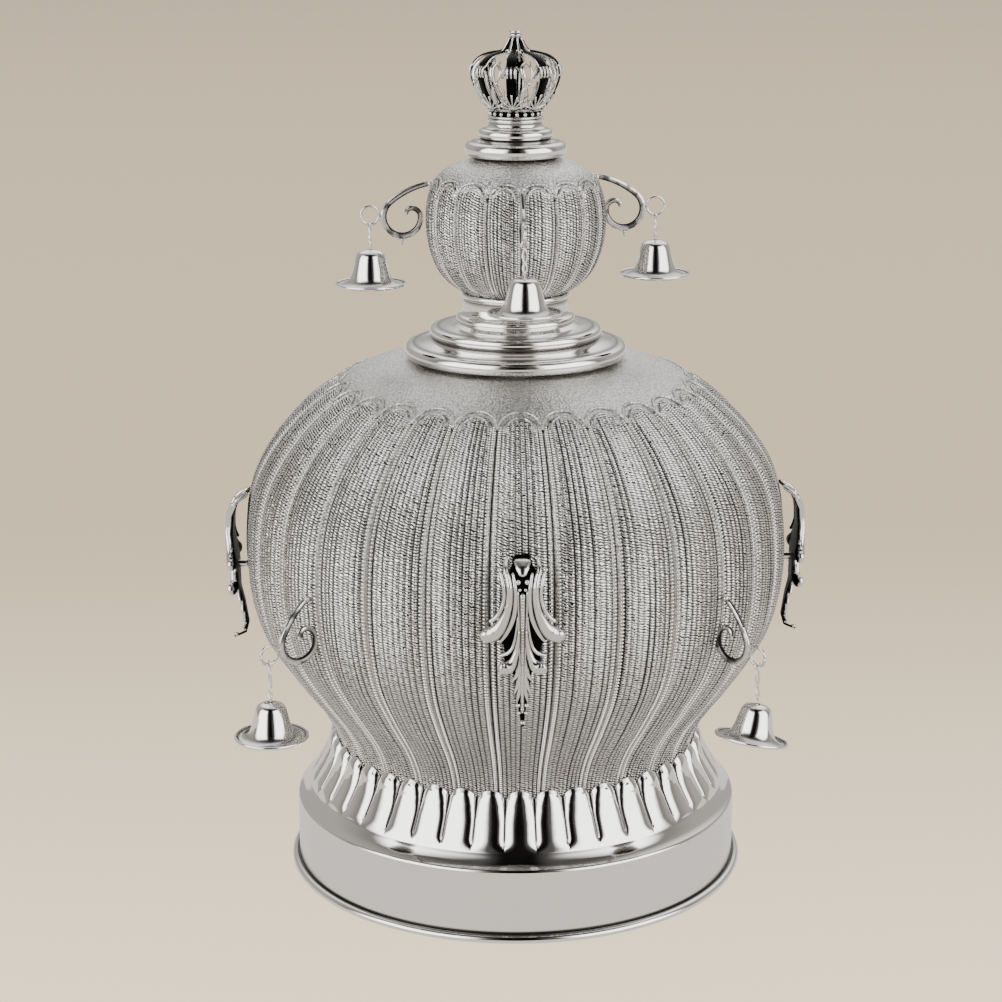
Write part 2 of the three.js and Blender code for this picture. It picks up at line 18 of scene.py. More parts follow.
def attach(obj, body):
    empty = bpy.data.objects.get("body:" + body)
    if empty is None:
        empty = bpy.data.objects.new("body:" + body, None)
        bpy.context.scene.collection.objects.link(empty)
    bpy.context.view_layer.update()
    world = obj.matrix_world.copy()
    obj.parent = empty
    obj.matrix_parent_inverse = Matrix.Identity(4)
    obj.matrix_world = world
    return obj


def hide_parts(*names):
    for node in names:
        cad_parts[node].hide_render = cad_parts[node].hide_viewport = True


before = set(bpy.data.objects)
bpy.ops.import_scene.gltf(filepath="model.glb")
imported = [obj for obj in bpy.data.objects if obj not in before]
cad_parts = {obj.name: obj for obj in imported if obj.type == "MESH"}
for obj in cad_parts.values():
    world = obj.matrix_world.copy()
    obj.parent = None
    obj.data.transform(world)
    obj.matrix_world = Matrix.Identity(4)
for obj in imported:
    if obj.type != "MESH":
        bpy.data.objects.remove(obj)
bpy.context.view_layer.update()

# %% [markdown]
# Everything below is written in millimetres and degrees, as a silversmith would measure it, and
# turned into Blender's metres in one place. Azimuth 0 is the side that faces the viewer, and it
# grows towards the viewer's right.

# %% Units and small helpers
MM = 0.001


def polar(radius, azimuth, height):
    """A point in metres from a radius and height in mm and an azimuth in degrees."""
    angle = math.radians(azimuth)
    return Vector((radius * math.sin(angle), -radius * math.cos(angle), height)) * MM


def smoothstep(value, low, high):
    share = min(1.0, max(0.0, (value - low) / (high - low)))
    return share * share * (3 - 2 * share)


def along_table(table, value):
    """Read a table of (place, amount) pairs at a place between them."""
    for (low, first), (high, second) in zip(table, table[1:]):
        if value <= high:
            return first + (second - first) * max(0.0, value - low) / (high - low)
    return table[-1][1]


def curve_through(points, steps):
    """A smooth line through the given points, with "steps" hops between neighbours."""
    points = [Vector(p) for p in points]
    padded = [2 * points[0] - points[1], *points, 2 * points[-1] - points[-2]]
    line = []
    for before, start, end, after in zip(padded, padded[1:], padded[2:], padded[3:]):
        for step in range(steps):
            t = step / steps
            bend = 2 * before - 5 * start + 4 * end - after
            twist = 3 * start - before - 3 * end + after
            line.append(0.5 * (2 * start + (end - before) * t + bend * t * t + twist * t ** 3))
    line.append(points[-1])
    return line


def lengths_along(line):
    total = [0.0]
    for start, end in zip(line, line[1:]):
        total.append(total[-1] + (end - start).length)
    return total


def shared_out(line, count):
    """The same line again as "count" points at equal distances."""
    total = lengths_along(line)
    places = []
    index = 0
    for step in range(count):
        wanted = total[-1] * step / (count - 1)
        while index < len(total) - 2 and total[index + 1] < wanted:
            index += 1
        share = (wanted - total[index]) / max(1e-9, total[index + 1] - total[index])
        places.append(line[index].lerp(line[index + 1], min(1.0, share)))
    return places


def heading_at(line, index):
    """The direction of a line of points at one of them."""
    return (line[min(index + 1, len(line) - 1)] - line[max(index - 1, 0)]).normalized()


print("helpers ready")

# %% [markdown]
# The photograph was taken with a long lens from a little above. The camera stands 0.9 m from the
# crown's axis, about 6 cm higher than its top, and looks down by 15 degrees.

# %% Camera
CAMERA_DISTANCE = 900
CAMERA_HEIGHT = 393.47
CAMERA_AZIMUTH = -1.27
CAMERA_PITCH = 15.12
FOCAL_PIXELS = 2314
IMAGE_PIXELS = 1002
AXIS_PIXEL = 515.56

camera_data = bpy.data.cameras.new("camera")
camera_data.sensor_width = 36.0
camera_data.lens = FOCAL_PIXELS * camera_data.sensor_width / IMAGE_PIXELS
camera_data.shift_x = (IMAGE_PIXELS / 2 - AXIS_PIXEL) / IMAGE_PIXELS
camera = bpy.data.objects.new("camera", camera_data)
camera.location = polar(CAMERA_DISTANCE, CAMERA_AZIMUTH, CAMERA_HEIGHT)
camera.rotation_euler = (math.radians(90 - CAMERA_PITCH), 0, math.radians(CAMERA_AZIMUTH))
bpy.context.scene.collection.objects.link(camera)
bpy.context.scene.camera = camera
print("lens in mm:", round(camera_data.lens, 1))

# %% [markdown]
# A material is a small tree of nodes. One helper adds a node, sets it and links it, so that each
# material below reads as a list of what it does. Colours are given as they look on a screen and
# are turned into linear light by one function.

# %% Node and colour helpers


def linear(hex_colour):
    """A screen colour such as "c8c4bc" as linear red, green, blue and alpha."""
    values = [int(hex_colour[i:i + 2], 16) / 255 for i in (0, 2, 4)]
    return (*[v / 12.92 if v <= 0.04045 else ((v + 0.055) / 1.055) ** 2.4 for v in values], 1.0)


def add_node(tree, kind, settings=None, inputs=None):
    """Add a node, set its own settings, and give its inputs a value or a link each."""
    node = tree.nodes.new(kind)
    for name, value in (settings or {}).items():
        setattr(node, name, value)
    for name, value in (inputs or {}).items():
        if isinstance(value, bpy.types.NodeSocket):
            tree.links.new(value, node.inputs[name])
        else:
            node.inputs[name].default_value = value
    return node


def new_material(name):
    material = bpy.data.materials.new(name)
    material.use_nodes = True
    return material, material.node_tree, material.node_tree.nodes["Principled BSDF"]


# The settings of the maths nodes and colour mixes that come up again and again.
TIMES = {"operation": "MULTIPLY"}
TIMES_PLUS = {"operation": "MULTIPLY_ADD"}
PLUS = {"operation": "ADD"}
MINUS = {"operation": "SUBTRACT"}
SIZE_OF = {"operation": "ABSOLUTE"}
COLOURS = {"data_type": "RGBA"}
SOFT_STEP = {"interpolation_type": "SMOOTHSTEP"}
print("white is", linear("ffffff"))

# %% [markdown]
# The floor is a plain pale sweep of backdrop paper, lit so evenly that most of its brightness is its
# own. It fades from cream in front of the crown to a dull tan far behind it. A lamp over a plain
# sheet could light it as well, but then its colour would change with every change of the lamps.
#
# The silver mirrors this sheet from all sides. In the photograph it hardly takes on the paper's warm
# tint, so the sheet that the silver mirrors is a paler, nearly neutral one.

# %% Backdrop paper
PAPER_NEAR = "fce8c5"
PAPER_MIDDLE = "baa68a"
PAPER_FAR = "a2917c"
PAPER_MIRRORED = "c4c0ba"
PAPER_DYE = "4c4a46"
PAPER_GLOW = 1.8
# Each fade begins and ends at a distance in metres behind the crown's axis.
PAPER_FADES = [(-0.35, 0.55, "SMOOTHSTEP", PAPER_MIDDLE), (0.55, 7.0, "LINEAR", PAPER_FAR)]
FLOOR_HALF_WIDTH = 14.0

paper, tree, shader = new_material("backdrop_paper_matt")
place = add_node(tree, "ShaderNodeTexCoord").outputs["Object"]
back = add_node(tree, "ShaderNodeSeparateXYZ", inputs={0: place}).outputs["Y"]
glow = linear(PAPER_NEAR)
for start, stop, curve, colour in PAPER_FADES:
    share = add_node(tree, "ShaderNodeMapRange", {"interpolation_type": curve},
                     {"Value": back, "From Min": start, "From Max": stop}).outputs["Result"]
    glow = add_node(tree, "ShaderNodeMix", COLOURS, {0: share, 6: glow, 7: linear(colour)}).outputs[2]
seen = add_node(tree, "ShaderNodeLightPath").outputs["Is Camera Ray"]
shown = add_node(tree, "ShaderNodeMix", COLOURS, {0: seen, 6: linear(PAPER_MIRRORED), 7: glow})
tree.links.new(shown.outputs[2], shader.inputs["Emission Color"])
shader.inputs["Emission Strength"].default_value = PAPER_GLOW
shader.inputs["Base Color"].default_value = linear(PAPER_DYE)
shader.inputs["Roughness"].default_value = 0.9
shader.inputs["Specular IOR Level"].default_value = 0.0

sheet = bmesh.new()
bmesh.ops.create_grid(sheet, x_segments=8, y_segments=8, size=FLOOR_HALF_WIDTH)
floor_mesh = bpy.data.meshes.new("floor")
sheet.to_mesh(floor_mesh)
sheet.free()
floor_mesh.materials.append(paper)
floor = bpy.data.objects.new("floor", floor_mesh)
bpy.context.scene.collection.objects.link(floor)
print("floor is", 2 * FLOOR_HALF_WIDTH, "m wide")

# %% [markdown]
# Polished silver shows nothing but its surroundings, so the light decides how it looks. All of it is
# in the world around the crown. Two broad soft windows, to the left and right of the viewer, give the
# bright bands. The dark gap between them gives the dark line down the middle of every polished curve.
# A soft disc above and behind lights the tops, and the walls are dim in front and pale behind. Area
# lamps could stand there instead, but their edges are hard, and polished rings mirror every edge.

# %% Studio light
# A window in degrees: azimuth, height, half its width, half its height, its soft edge; its strength.
WINDOWS = [
    (-54, 20, 38, 34, 16, 4.6),
    (56, 20, 37, 34, 16, 4.4),
]
# The disc above and behind, from the cosine at its edge to the cosine where it is at full strength.
TOP_LIGHT = {"towards": (0.1, 0.6, 0.79), "edge": 0.7, "full": 0.93, "strength": 1.5}
ROOM_FRONT = "5c5a59"
ROOM_BACK = "c6c3be"
ROOM_GAP = "0f0f0e"
# Each field is whole up to the first number and gone at the second, of a direction's x or y.
GAP_BESIDE = (0.1, 0.26)
GAP_FRONT = (-0.4, -0.1)
FRONT_WALL = (-0.3, 0.5)

world = bpy.data.worlds.new("studio_room")
world.use_nodes = True
bpy.context.scene.world = world
room = world.node_tree
direction = add_node(room, "ShaderNodeTexCoord").outputs["Generated"]
east, north, up = add_node(room, "ShaderNodeSeparateXYZ", inputs={0: direction}).outputs
south = add_node(room, "ShaderNodeMath", TIMES, {0: north, 1: -1.0}).outputs[0]
azimuth_angle = add_node(room, "ShaderNodeMath", {"operation": "ARCTAN2"}, {0: east, 1: south}).outputs[0]
height_angle = add_node(room, "ShaderNodeMath", {"operation": "ARCSINE"}, {0: up}).outputs[0]
sideways = add_node(room, "ShaderNodeMath", SIZE_OF, {0: east}).outputs[0]

fields = []
for value, (whole, gone) in ((sideways, GAP_BESIDE), (north, GAP_FRONT), (north, FRONT_WALL)):
    field = add_node(room, "ShaderNodeMapRange", SOFT_STEP,
                     {"Value": value, "From Min": whole, "From Max": gone, "To Min": 1.0, "To Max": 0.0})
    fields.append(field.outputs["Result"])
gap = add_node(room, "ShaderNodeMath", TIMES, {0: fields[0], 1: fields[1]}).outputs[0]
walls = add_node(room, "ShaderNodeMix", COLOURS,
                 {0: fields[2], 6: linear(ROOM_BACK), 7: linear(ROOM_FRONT)}).outputs[2]
tone = add_node(room, "ShaderNodeMix", COLOURS, {0: gap, 6: walls, 7: linear(ROOM_GAP)}).outputs[2]

overhead = add_node(room, "ShaderNodeVectorMath", {"operation": "DOT_PRODUCT"},
                    {0: direction, 1: TOP_LIGHT["towards"]}).outputs["Value"]
glare = add_node(room, "ShaderNodeMapRange", SOFT_STEP,
                 {"Value": overhead, "From Min": TOP_LIGHT["edge"], "From Max": TOP_LIGHT["full"],
                  "To Min": 0.0, "To Max": TOP_LIGHT["strength"]}).outputs["Result"]
for azimuth, height, half_wide, half_tall, edge, strength in WINDOWS:
    window = strength
    for angle, middle, half in ((azimuth_angle, azimuth, half_wide), (height_angle, height, half_tall)):
        offset = add_node(room, "ShaderNodeMath", MINUS, {0: angle, 1: math.radians(middle)}).outputs[0]
        distance = add_node(room, "ShaderNodeMath", SIZE_OF, {0: offset}).outputs[0]
        inside = add_node(room, "ShaderNodeMapRange", SOFT_STEP,
                          {"Value": distance, "From Min": math.radians(half - edge),
                           "From Max": math.radians(half), "To Min": 1.0, "To Max": 0.0})
        window = add_node(room, "ShaderNodeMath", TIMES,
                          {0: inside.outputs["Result"], 1: window}).outputs[0]
    glare = add_node(room, "ShaderNodeMath", PLUS, {0: window, 1: glare}).outputs[0]
lit = add_node(room, "ShaderNodeMix", {**COLOURS, "blend_type": "ADD"}, {0: 1.0, 6: tone, 7: glare})
background = room.nodes["Background"]
room.links.new(lit.outputs[2], background.inputs["Color"])
background.inputs["Strength"].default_value = 1.0
print("soft windows:", len(WINDOWS))

# %% [markdown]
# All the metal is sterling silver, and what differs is how its surface was made. Spun and planished
# pieces are polished like a mirror. The dome and bulb were chased with liners and matting punches,
# so they sparkle, and their grooves are painted dark as shade. The castings were dipped to blacken
# them and then rubbed bright on their high places. The ticks and stains could be painted on an image,
# but nodes need no picture and stay sharp from close by. One function makes all three finishes,
# because only their roughness, relief and dark colour differ. Each vertex of a piece carries
# "hollow", how deep in a groove, crease or gap it lies, which sets how dark it is painted: painted
# shade, and on the castings their black oxide too; "matt", how much it was matted; and "along", its
# distance along the chased ridge in mm, a little more from column to column, so that ticks of
# neighbouring ridges aren't in line.

# %% Silver finishes
# Sizes of the patterns in mm: ticks of the liner, dots of the matting punch, stains, planishing
# dents, the places where the liner's hand trembled, and the grain of the metal's skin.
TICK_PITCH = 1.05
STIPPLE_PITCH = 0.85
STAIN_SIZE = 100 / 9
DENT_SIZE = 100 / 6
TREMBLE_SIZE = 100 / 52
GRAIN_SIZE = 10 / 9
# How far the trembling moves a tick, as a phase, and how much deeper a dot is than a tick.
TREMBLE = 9.0
STIPPLE_DEPTH = 3.0
# How dark the painted shade is on the low side of a tick and between dots, and from where to where
# it grows.
TICK_SHADE = (1.0, -0.2, -0.75)
STIPPLE_SHADE = (0.45, 0.32, 0.62)
# Roughness of worn and of stained places, as a share, and what matting adds to it.
WORN = 0.8
STAINED = 1.3
MATTED = 0.16
VERTEX_LAYERS = ("hollow", "matt", "along")


def silver(name, bright, shade_and_oxide, roughness, hollow_roughness, dent, ticks=0.0, grain=0.0):
    """Sterling silver; dent, ticks and grain are how high each relief is in mm."""
    material, tree, shader = new_material(name)
    shader.inputs["Metallic"].default_value = 1.0
    place = add_node(tree, "ShaderNodeTexCoord").outputs["Object"]
    hollow, matt, along = [
        add_node(tree, "ShaderNodeAttribute", {"attribute_name": layer}).outputs["Fac"]
        for layer in VERTEX_LAYERS
    ]
    stains = add_node(tree, "ShaderNodeTexNoise", {},
                      {"Vector": place, "Scale": 1 / (STAIN_SIZE * MM), "Detail": 3.0}).outputs["Fac"]
    worn = add_node(tree, "ShaderNodeMapRange", {},
                    {"Value": stains, "From Min": 0.3, "From Max": 0.7,
                     "To Min": roughness * WORN, "To Max": roughness * STAINED}).outputs["Result"]
    matted = add_node(tree, "ShaderNodeMath", TIMES_PLUS, {0: matt, 1: MATTED, 2: worn}).outputs[0]
    rough = add_node(tree, "ShaderNodeMix", {"data_type": "FLOAT"},
                     {0: hollow, 2: matted, 3: hollow_roughness})
    tree.links.new(rough.outputs[0], shader.inputs["Roughness"])

    # The dark colour, painted shade and on the castings their oxide as well, starts a little way
    # down a hollow and is full just before its bottom.
    black = add_node(tree, "ShaderNodeMath", {**TIMES_PLUS, "use_clamp": True},
                     {0: hollow, 1: 1.15, 2: -0.05}).outputs[0]
    dents = add_node(tree, "ShaderNodeTexNoise", {},
                     {"Vector": place, "Scale": 1 / (DENT_SIZE * MM), "Detail": 1.0}).outputs["Fac"]
    height = add_node(tree, "ShaderNodeMath", TIMES, {0: dents, 1: dent * MM}).outputs[0]
    if ticks:
        phase = add_node(tree, "ShaderNodeMath", TIMES, {0: along, 1: 2 * math.pi / TICK_PITCH}).outputs[0]
        unsteady = add_node(tree, "ShaderNodeTexNoise", {},
                            {"Vector": place, "Scale": 1 / (TREMBLE_SIZE * MM), "Detail": 1.0})
        jitter = add_node(tree, "ShaderNodeMath", TIMES_PLUS,
                          {0: unsteady.outputs["Fac"], 1: TREMBLE, 2: phase}).outputs[0]
        wave = add_node(tree, "ShaderNodeMath", {"operation": "SINE"}, {0: jitter}).outputs[0]
        bare = add_node(tree, "ShaderNodeMath", {**MINUS, "use_clamp": True}, {0: 1.0, 1: matt}).outputs[0]
        ticked = add_node(tree, "ShaderNodeMath", TIMES, {0: wave, 1: bare}).outputs[0]
        dots = add_node(tree, "ShaderNodeTexVoronoi", {},
                        {"Vector": place, "Scale": 1 / (STIPPLE_PITCH * MM)}).outputs["Distance"]
        dotted = add_node(tree, "ShaderNodeMath", TIMES, {0: dots, 1: matt}).outputs[0]
        # Each pattern raises the surface, and its low places are painted dark as shade.
        for pattern, rise, (darkest, start, full) in ((ticked, ticks, TICK_SHADE),
                                                   (dotted, ticks * STIPPLE_DEPTH, STIPPLE_SHADE)):
            height = add_node(tree, "ShaderNodeMath", TIMES_PLUS,
                              {0: pattern, 1: rise * MM, 2: height}).outputs[0]
            low = add_node(tree, "ShaderNodeMapRange", {},
                           {"Value": pattern, "From Min": start, "From Max": full,
                            "To Min": 0.0, "To Max": darkest}).outputs["Result"]
            black = add_node(tree, "ShaderNodeMath", {**PLUS, "use_clamp": True},
                             {0: black, 1: low}).outputs[0]
    if grain:
        fine = add_node(tree, "ShaderNodeTexNoise", {},
                        {"Vector": place, "Scale": 1 / (GRAIN_SIZE * MM), "Detail": 2.0}).outputs["Fac"]
        height = add_node(tree, "ShaderNodeMath", TIMES_PLUS,
                          {0: fine, 1: grain * MM, 2: height}).outputs[0]
    colour = add_node(tree, "ShaderNodeMix", COLOURS, {0: black, 6: linear(bright), 7: linear(shade_and_oxide)})
    tree.links.new(colour.outputs[2], shader.inputs["Base Color"])
    bump = add_node(tree, "ShaderNodeBump", {}, {"Height": height, "Distance": 1.0, "Strength": 1.0})
    tree.links.new(bump.outputs["Normal"], shader.inputs["Normal"])
    return material


polished = silver("sterling_silver_spun_polished", "e2e0dd", "2a2927", 0.08, 0.4, dent=0.05)
chased = silver("sterling_silver_chased_matted", "e4e2df", "282726", 0.17, 0.45,
                dent=0.12, ticks=0.085, grain=0.03)
cast = silver("sterling_silver_cast_oxidised", "cfcdca", "0c0c0b", 0.15, 0.55, dent=0.05, grain=0.02)
print("finishes:", polished.name, chased.name, cast.name)

# %% [markdown]
# Most pieces start in one of two ways. A spun piece is a profile turned round the axis with the
# spin operator. A wire, scroll or leaf rib is a flat grid that is rolled into a tube and laid along
# a line, which keeps its faces even and lets its section change from end to end. Both kinds are
# given outward normals and handed to the frame by one finishing function.

# %% Making and finishing meshes
FINISHES = {"polished_silver": polished, "chased_silver": chased, "cast_silver": cast}


def new_bmesh():
    bm = bmesh.new()
    for name in VERTEX_LAYERS:
        bm.verts.layers.float.new(name)
    bm.verts.layers.int.new("row")
    return bm


def spun(bm, profile, steps):
    """Turn (radius, height) points in mm round the axis. Each vertex keeps its row in the profile."""
    row = bm.verts.layers.int["row"]
    verts = []
    for index, (radius, height) in enumerate(profile):
        vert = bm.verts.new(polar(radius, 0, height))
        vert[row] = index
        verts.append(vert)
    edges = [bm.edges.new(pair) for pair in zip(verts, verts[1:])]
    before = len(bm.verts)
    bmesh.ops.spin(bm, geom=verts + edges, cent=(0, 0, 0), axis=(0, 0, 1),
                   angle=2 * math.pi, steps=steps, use_merge=True)
    bm.verts.ensure_lookup_table()
    return verts + list(bm.verts)[before:]


def azimuth_of(vert):
    return math.degrees(math.atan2(vert.co.x, -vert.co.y)) % 360


def rolled_tube(bm, stations, section, hollow_below=None, hollows=None):
    """Roll a grid into a tube. A station is (centre, across, up, half width, half height) in metres.

    The tube is darkened below a height of its section, or by "hollows", one amount for each side:
    oxide on the brackets, and painted shade on the leaves and the little crown.
    """
    rows = len(stations) - 1
    sides = len(section)
    hollow = bm.verts.layers.float["hollow"]
    grid = bmesh.ops.create_grid(bm, x_segments=sides, y_segments=rows, size=1.0)
    for vert in grid["verts"]:
        side = round((vert.co.x + 1) / 2 * sides) % sides
        step = round((vert.co.y + 1) / 2 * rows)
        u, v = section[side]
        centre, across, up, half_width, half_height = stations[step]
        vert.co = centre + across * (u * half_width) + up * (v * half_height)
        if hollow_below is not None and v < hollow_below:
            vert[hollow] = 1.0
        if hollows is not None:
            vert[hollow] = hollows[side]
    bmesh.ops.remove_doubles(bm, verts=grid["verts"], dist=2e-7)


def round_section(sides):
    return [(math.cos(2 * math.pi * i / sides), math.sin(2 * math.pi * i / sides)) for i in range(sides)]


def wire(bm, line, radius, sides=6, up=None):
    """A round wire along a line of points in metres, closed by a blunt tip at each end."""
    stations = []
    side = None
    for index, centre in enumerate(line):
        ahead = heading_at(line, index)
        if up is not None:
            side = ahead.cross(up).normalized()
        elif side is None:
            side = ahead.orthogonal().normalized()
        else:
            side = (side - ahead * side.dot(ahead)).normalized()
        size = radius(index / (len(line) - 1)) if callable(radius) else radius
        stations.append((centre, side, side.cross(ahead).normalized(), size * MM, size * MM))
    tips = []
    for station, away in ((stations[0], line[0] - line[1]), (stations[-1], line[-1] - line[-2])):
        centre, across, above, half_width, _ = station
        tips.append((centre + away.normalized() * half_width * 0.5, across, above, 0.0, 0.0))
    rolled_tube(bm, [tips[0], *stations, tips[1]], round_section(sides))


def ball(bm, centre, radius, detail=2):
    """A ball at a point in metres, with its radius in mm."""
    bmesh.ops.create_icosphere(bm, subdivisions=detail, radius=radius * MM,
                               matrix=Matrix.Translation(centre))


def copied_round(bm, lobes):
    """Copy what was drawn on one lobe to all the others."""
    bmesh.ops.spin(bm, geom=bm.verts[:] + bm.edges[:] + bm.faces[:], cent=(0, 0, 0), axis=(0, 0, 1),
                   angle=-2 * math.pi * (lobes - 1) / lobes, steps=lobes - 1, use_duplicate=True)


def finish_piece(bm, name, slot, replaces=(), sharp=50):
    """Face the mesh outwards, give it its silver and hand it to the frame."""
    bmesh.ops.recalc_face_normals(bm, faces=bm.faces)
    for face in bm.faces:
        face.smooth = True
    triangles = sum(len(face.verts) - 2 for face in bm.faces)
    mesh = bpy.data.meshes.new(name)
    bm.to_mesh(mesh)
    bm.free()
    mesh.set_sharp_from_angle(angle=math.radians(sharp))
    mesh.materials.append(FINISHES[slot])
    piece = bpy.data.objects.new(name, mesh)
    bpy.context.scene.collection.objects.link(piece)
    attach(piece, "root")
    if replaces:
        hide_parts(*replaces)
    print(name, "has", triangles, "triangles")


# %% [markdown]
# The dome and the bulb are the same kind of work: a spun shell whose lobes were pushed out from
# inside, with a groove between neighbours, a beaded cord on each side of the groove, and corded
# ridges in between that end under an arch. A small class keeps one such form, so that the shell,
# its beads and its arches all lie on the same surface.

# %% The lobed form
SHEET = 0.8
LOBE_SQUARENESS = 2.3


class LobedForm:
    """A lobed shell of sheet silver; azimuths in degrees, "place" in mm along its profile from its foot."""

    def __init__(self, points, lobes, groove, fades, turn, rib_radii):
        self.points = points
        self.lobes = lobes
        self.groove = groove
        self.fades = fades
        self.turn = turn
        self.bottom = points[0][1]
        self.rise = points[-1][1] - self.bottom
        line = [Vector((r, h, 0)) for r, h in points]
        self.line = shared_out(curve_through(line, 24), 600)
        self.lengths = lengths_along(self.line)
        self.length = self.lengths[-1]
        self.rib_top, self.rib_foot = [self.place_at_radius(radius) for radius in rib_radii]

    def rib_place(self, x):
        """Place of the rib that arches over a lobe, at x from -1 to 1 across the lobe."""
        bow = math.sqrt(max(0.0, 1 - x * x)) ** 0.9
        return self.rib_top - (self.rib_top - self.rib_foot) * (1 - bow)

    def profile(self, place):
        """Radius, height and outward normal at a place along the profile."""
        step = min(1.0, max(0.0, place / self.length)) * (len(self.line) - 1)
        index = min(len(self.line) - 2, int(step))
        spot = self.line[index].lerp(self.line[index + 1], step - index)
        hop = (self.line[min(index + 2, len(self.line) - 1)] - self.line[max(index - 1, 0)]).normalized()
        return spot.x, spot.y, hop.y, -hop.x

    def place_at_radius(self, radius):
        """The place above the belly where the profile has a radius."""
        belly = max(range(len(self.line)), key=lambda i: self.line[i].x)
        for index in range(belly, len(self.line)):
            if self.line[index].x <= radius:
                return self.lengths[index]
        return self.length

    def across(self, azimuth):
        """Where an azimuth lies in its lobe: 0 on the crest and -1 or 1 in the grooves."""
        turns = (azimuth - self.turn) * self.lobes / 360
        return 2 * (turns - round(turns))

    def point(self, azimuth, place, lift=0.0):
        radius, height, out, up = self.profile(place)
        share = (height - self.bottom) / self.rise
        low, high = self.fades
        fade = (0.25 + 0.75 * smoothstep(share, 0, low)) * (1 - smoothstep(share, high, 1))
        x = self.across(azimuth)
        fade *= smoothstep(self.rib_place(x) - place, -0.6, 3.4)
        radius -= self.groove * fade * abs(x) ** LOBE_SQUARENESS
        return polar(radius + lift * out, azimuth, height + lift * up)


def outline(shares, radius, foot, top, bottom, rise):
    points = [[share * radius, bottom + up * rise] for up, share in shares]
    points[0][0] = foot
    points[-1][0] = top
    return points


DOME_SHARES = [
    (0, 0), (0.068, 0.682), (0.14, 0.734), (0.24, 0.847), (0.34, 0.942), (0.45, 0.99),
    (0.58, 0.999), (0.71, 0.967), (0.82, 0.872), (0.91, 0.732), (0.975, 0.555), (1, 0),
]
DOME_RADIUS = 107.9
DOME_FOOT_RADIUS = 72.4
DOME_TOP_RADIUS = 38
DOME_BOTTOM = 44.6
DOME_RISE = 165.3
DOME_LOBES = 28
DOME_GROOVE = 2.2

dome_points = outline(DOME_SHARES, DOME_RADIUS, DOME_FOOT_RADIUS, DOME_TOP_RADIUS, DOME_BOTTOM, DOME_RISE)
dome = LobedForm(dome_points, DOME_LOBES, DOME_GROOVE, (0.3, 0.99), 0, (67.6, 75.5))
print("dome profile is", round(dome.length, 1), "mm long")

# %% [markdown]
# The shell is spun with many columns, and then each column is moved to its place in the lobe: one
# column in the groove, two under each cord, and three for every corded ridge. The ridges have flat
# tops, wander a little in height, as handwork does, and run out under the arch into matted ground. A
# bump in the material could draw them too, but it would leave the silhouette and the mesh smooth.

# %% Chased shell
INNER_SHARES = (0.97, 0.85, 0.7, 0.5, 0.35, 0.25, 0.18, 0.13, 0.09, 0.06, 0.03)


def lobe_columns(ridges, groove_share, cord_share):
    """Where the columns of one lobe stand from -1 to 1, and how high each lies on its ridge."""
    edge = 1 - groove_share
    panel = 1 - groove_share - cord_share
    columns = [(-1.0, 0.0, "groove"), (-edge, 0.0, "cord"), (-(edge + panel) / 2, 0.3, "cord")]
    for ridge in range(ridges):
        start = -panel + 2 * panel * ridge / ridges
        width = 2 * panel / ridges
        columns.append((start, 0.0, "valley"))
        columns.append((start + width * 0.3, 1.0, "ridge"))
        columns.append((start + width * 0.7, 1.0, "ridge"))
    columns.append((panel, 0.0, "valley"))
    columns.append(((edge + panel) / 2, 0.3, "cord"))
    columns.append((edge, 0.0, "cord"))
    return columns


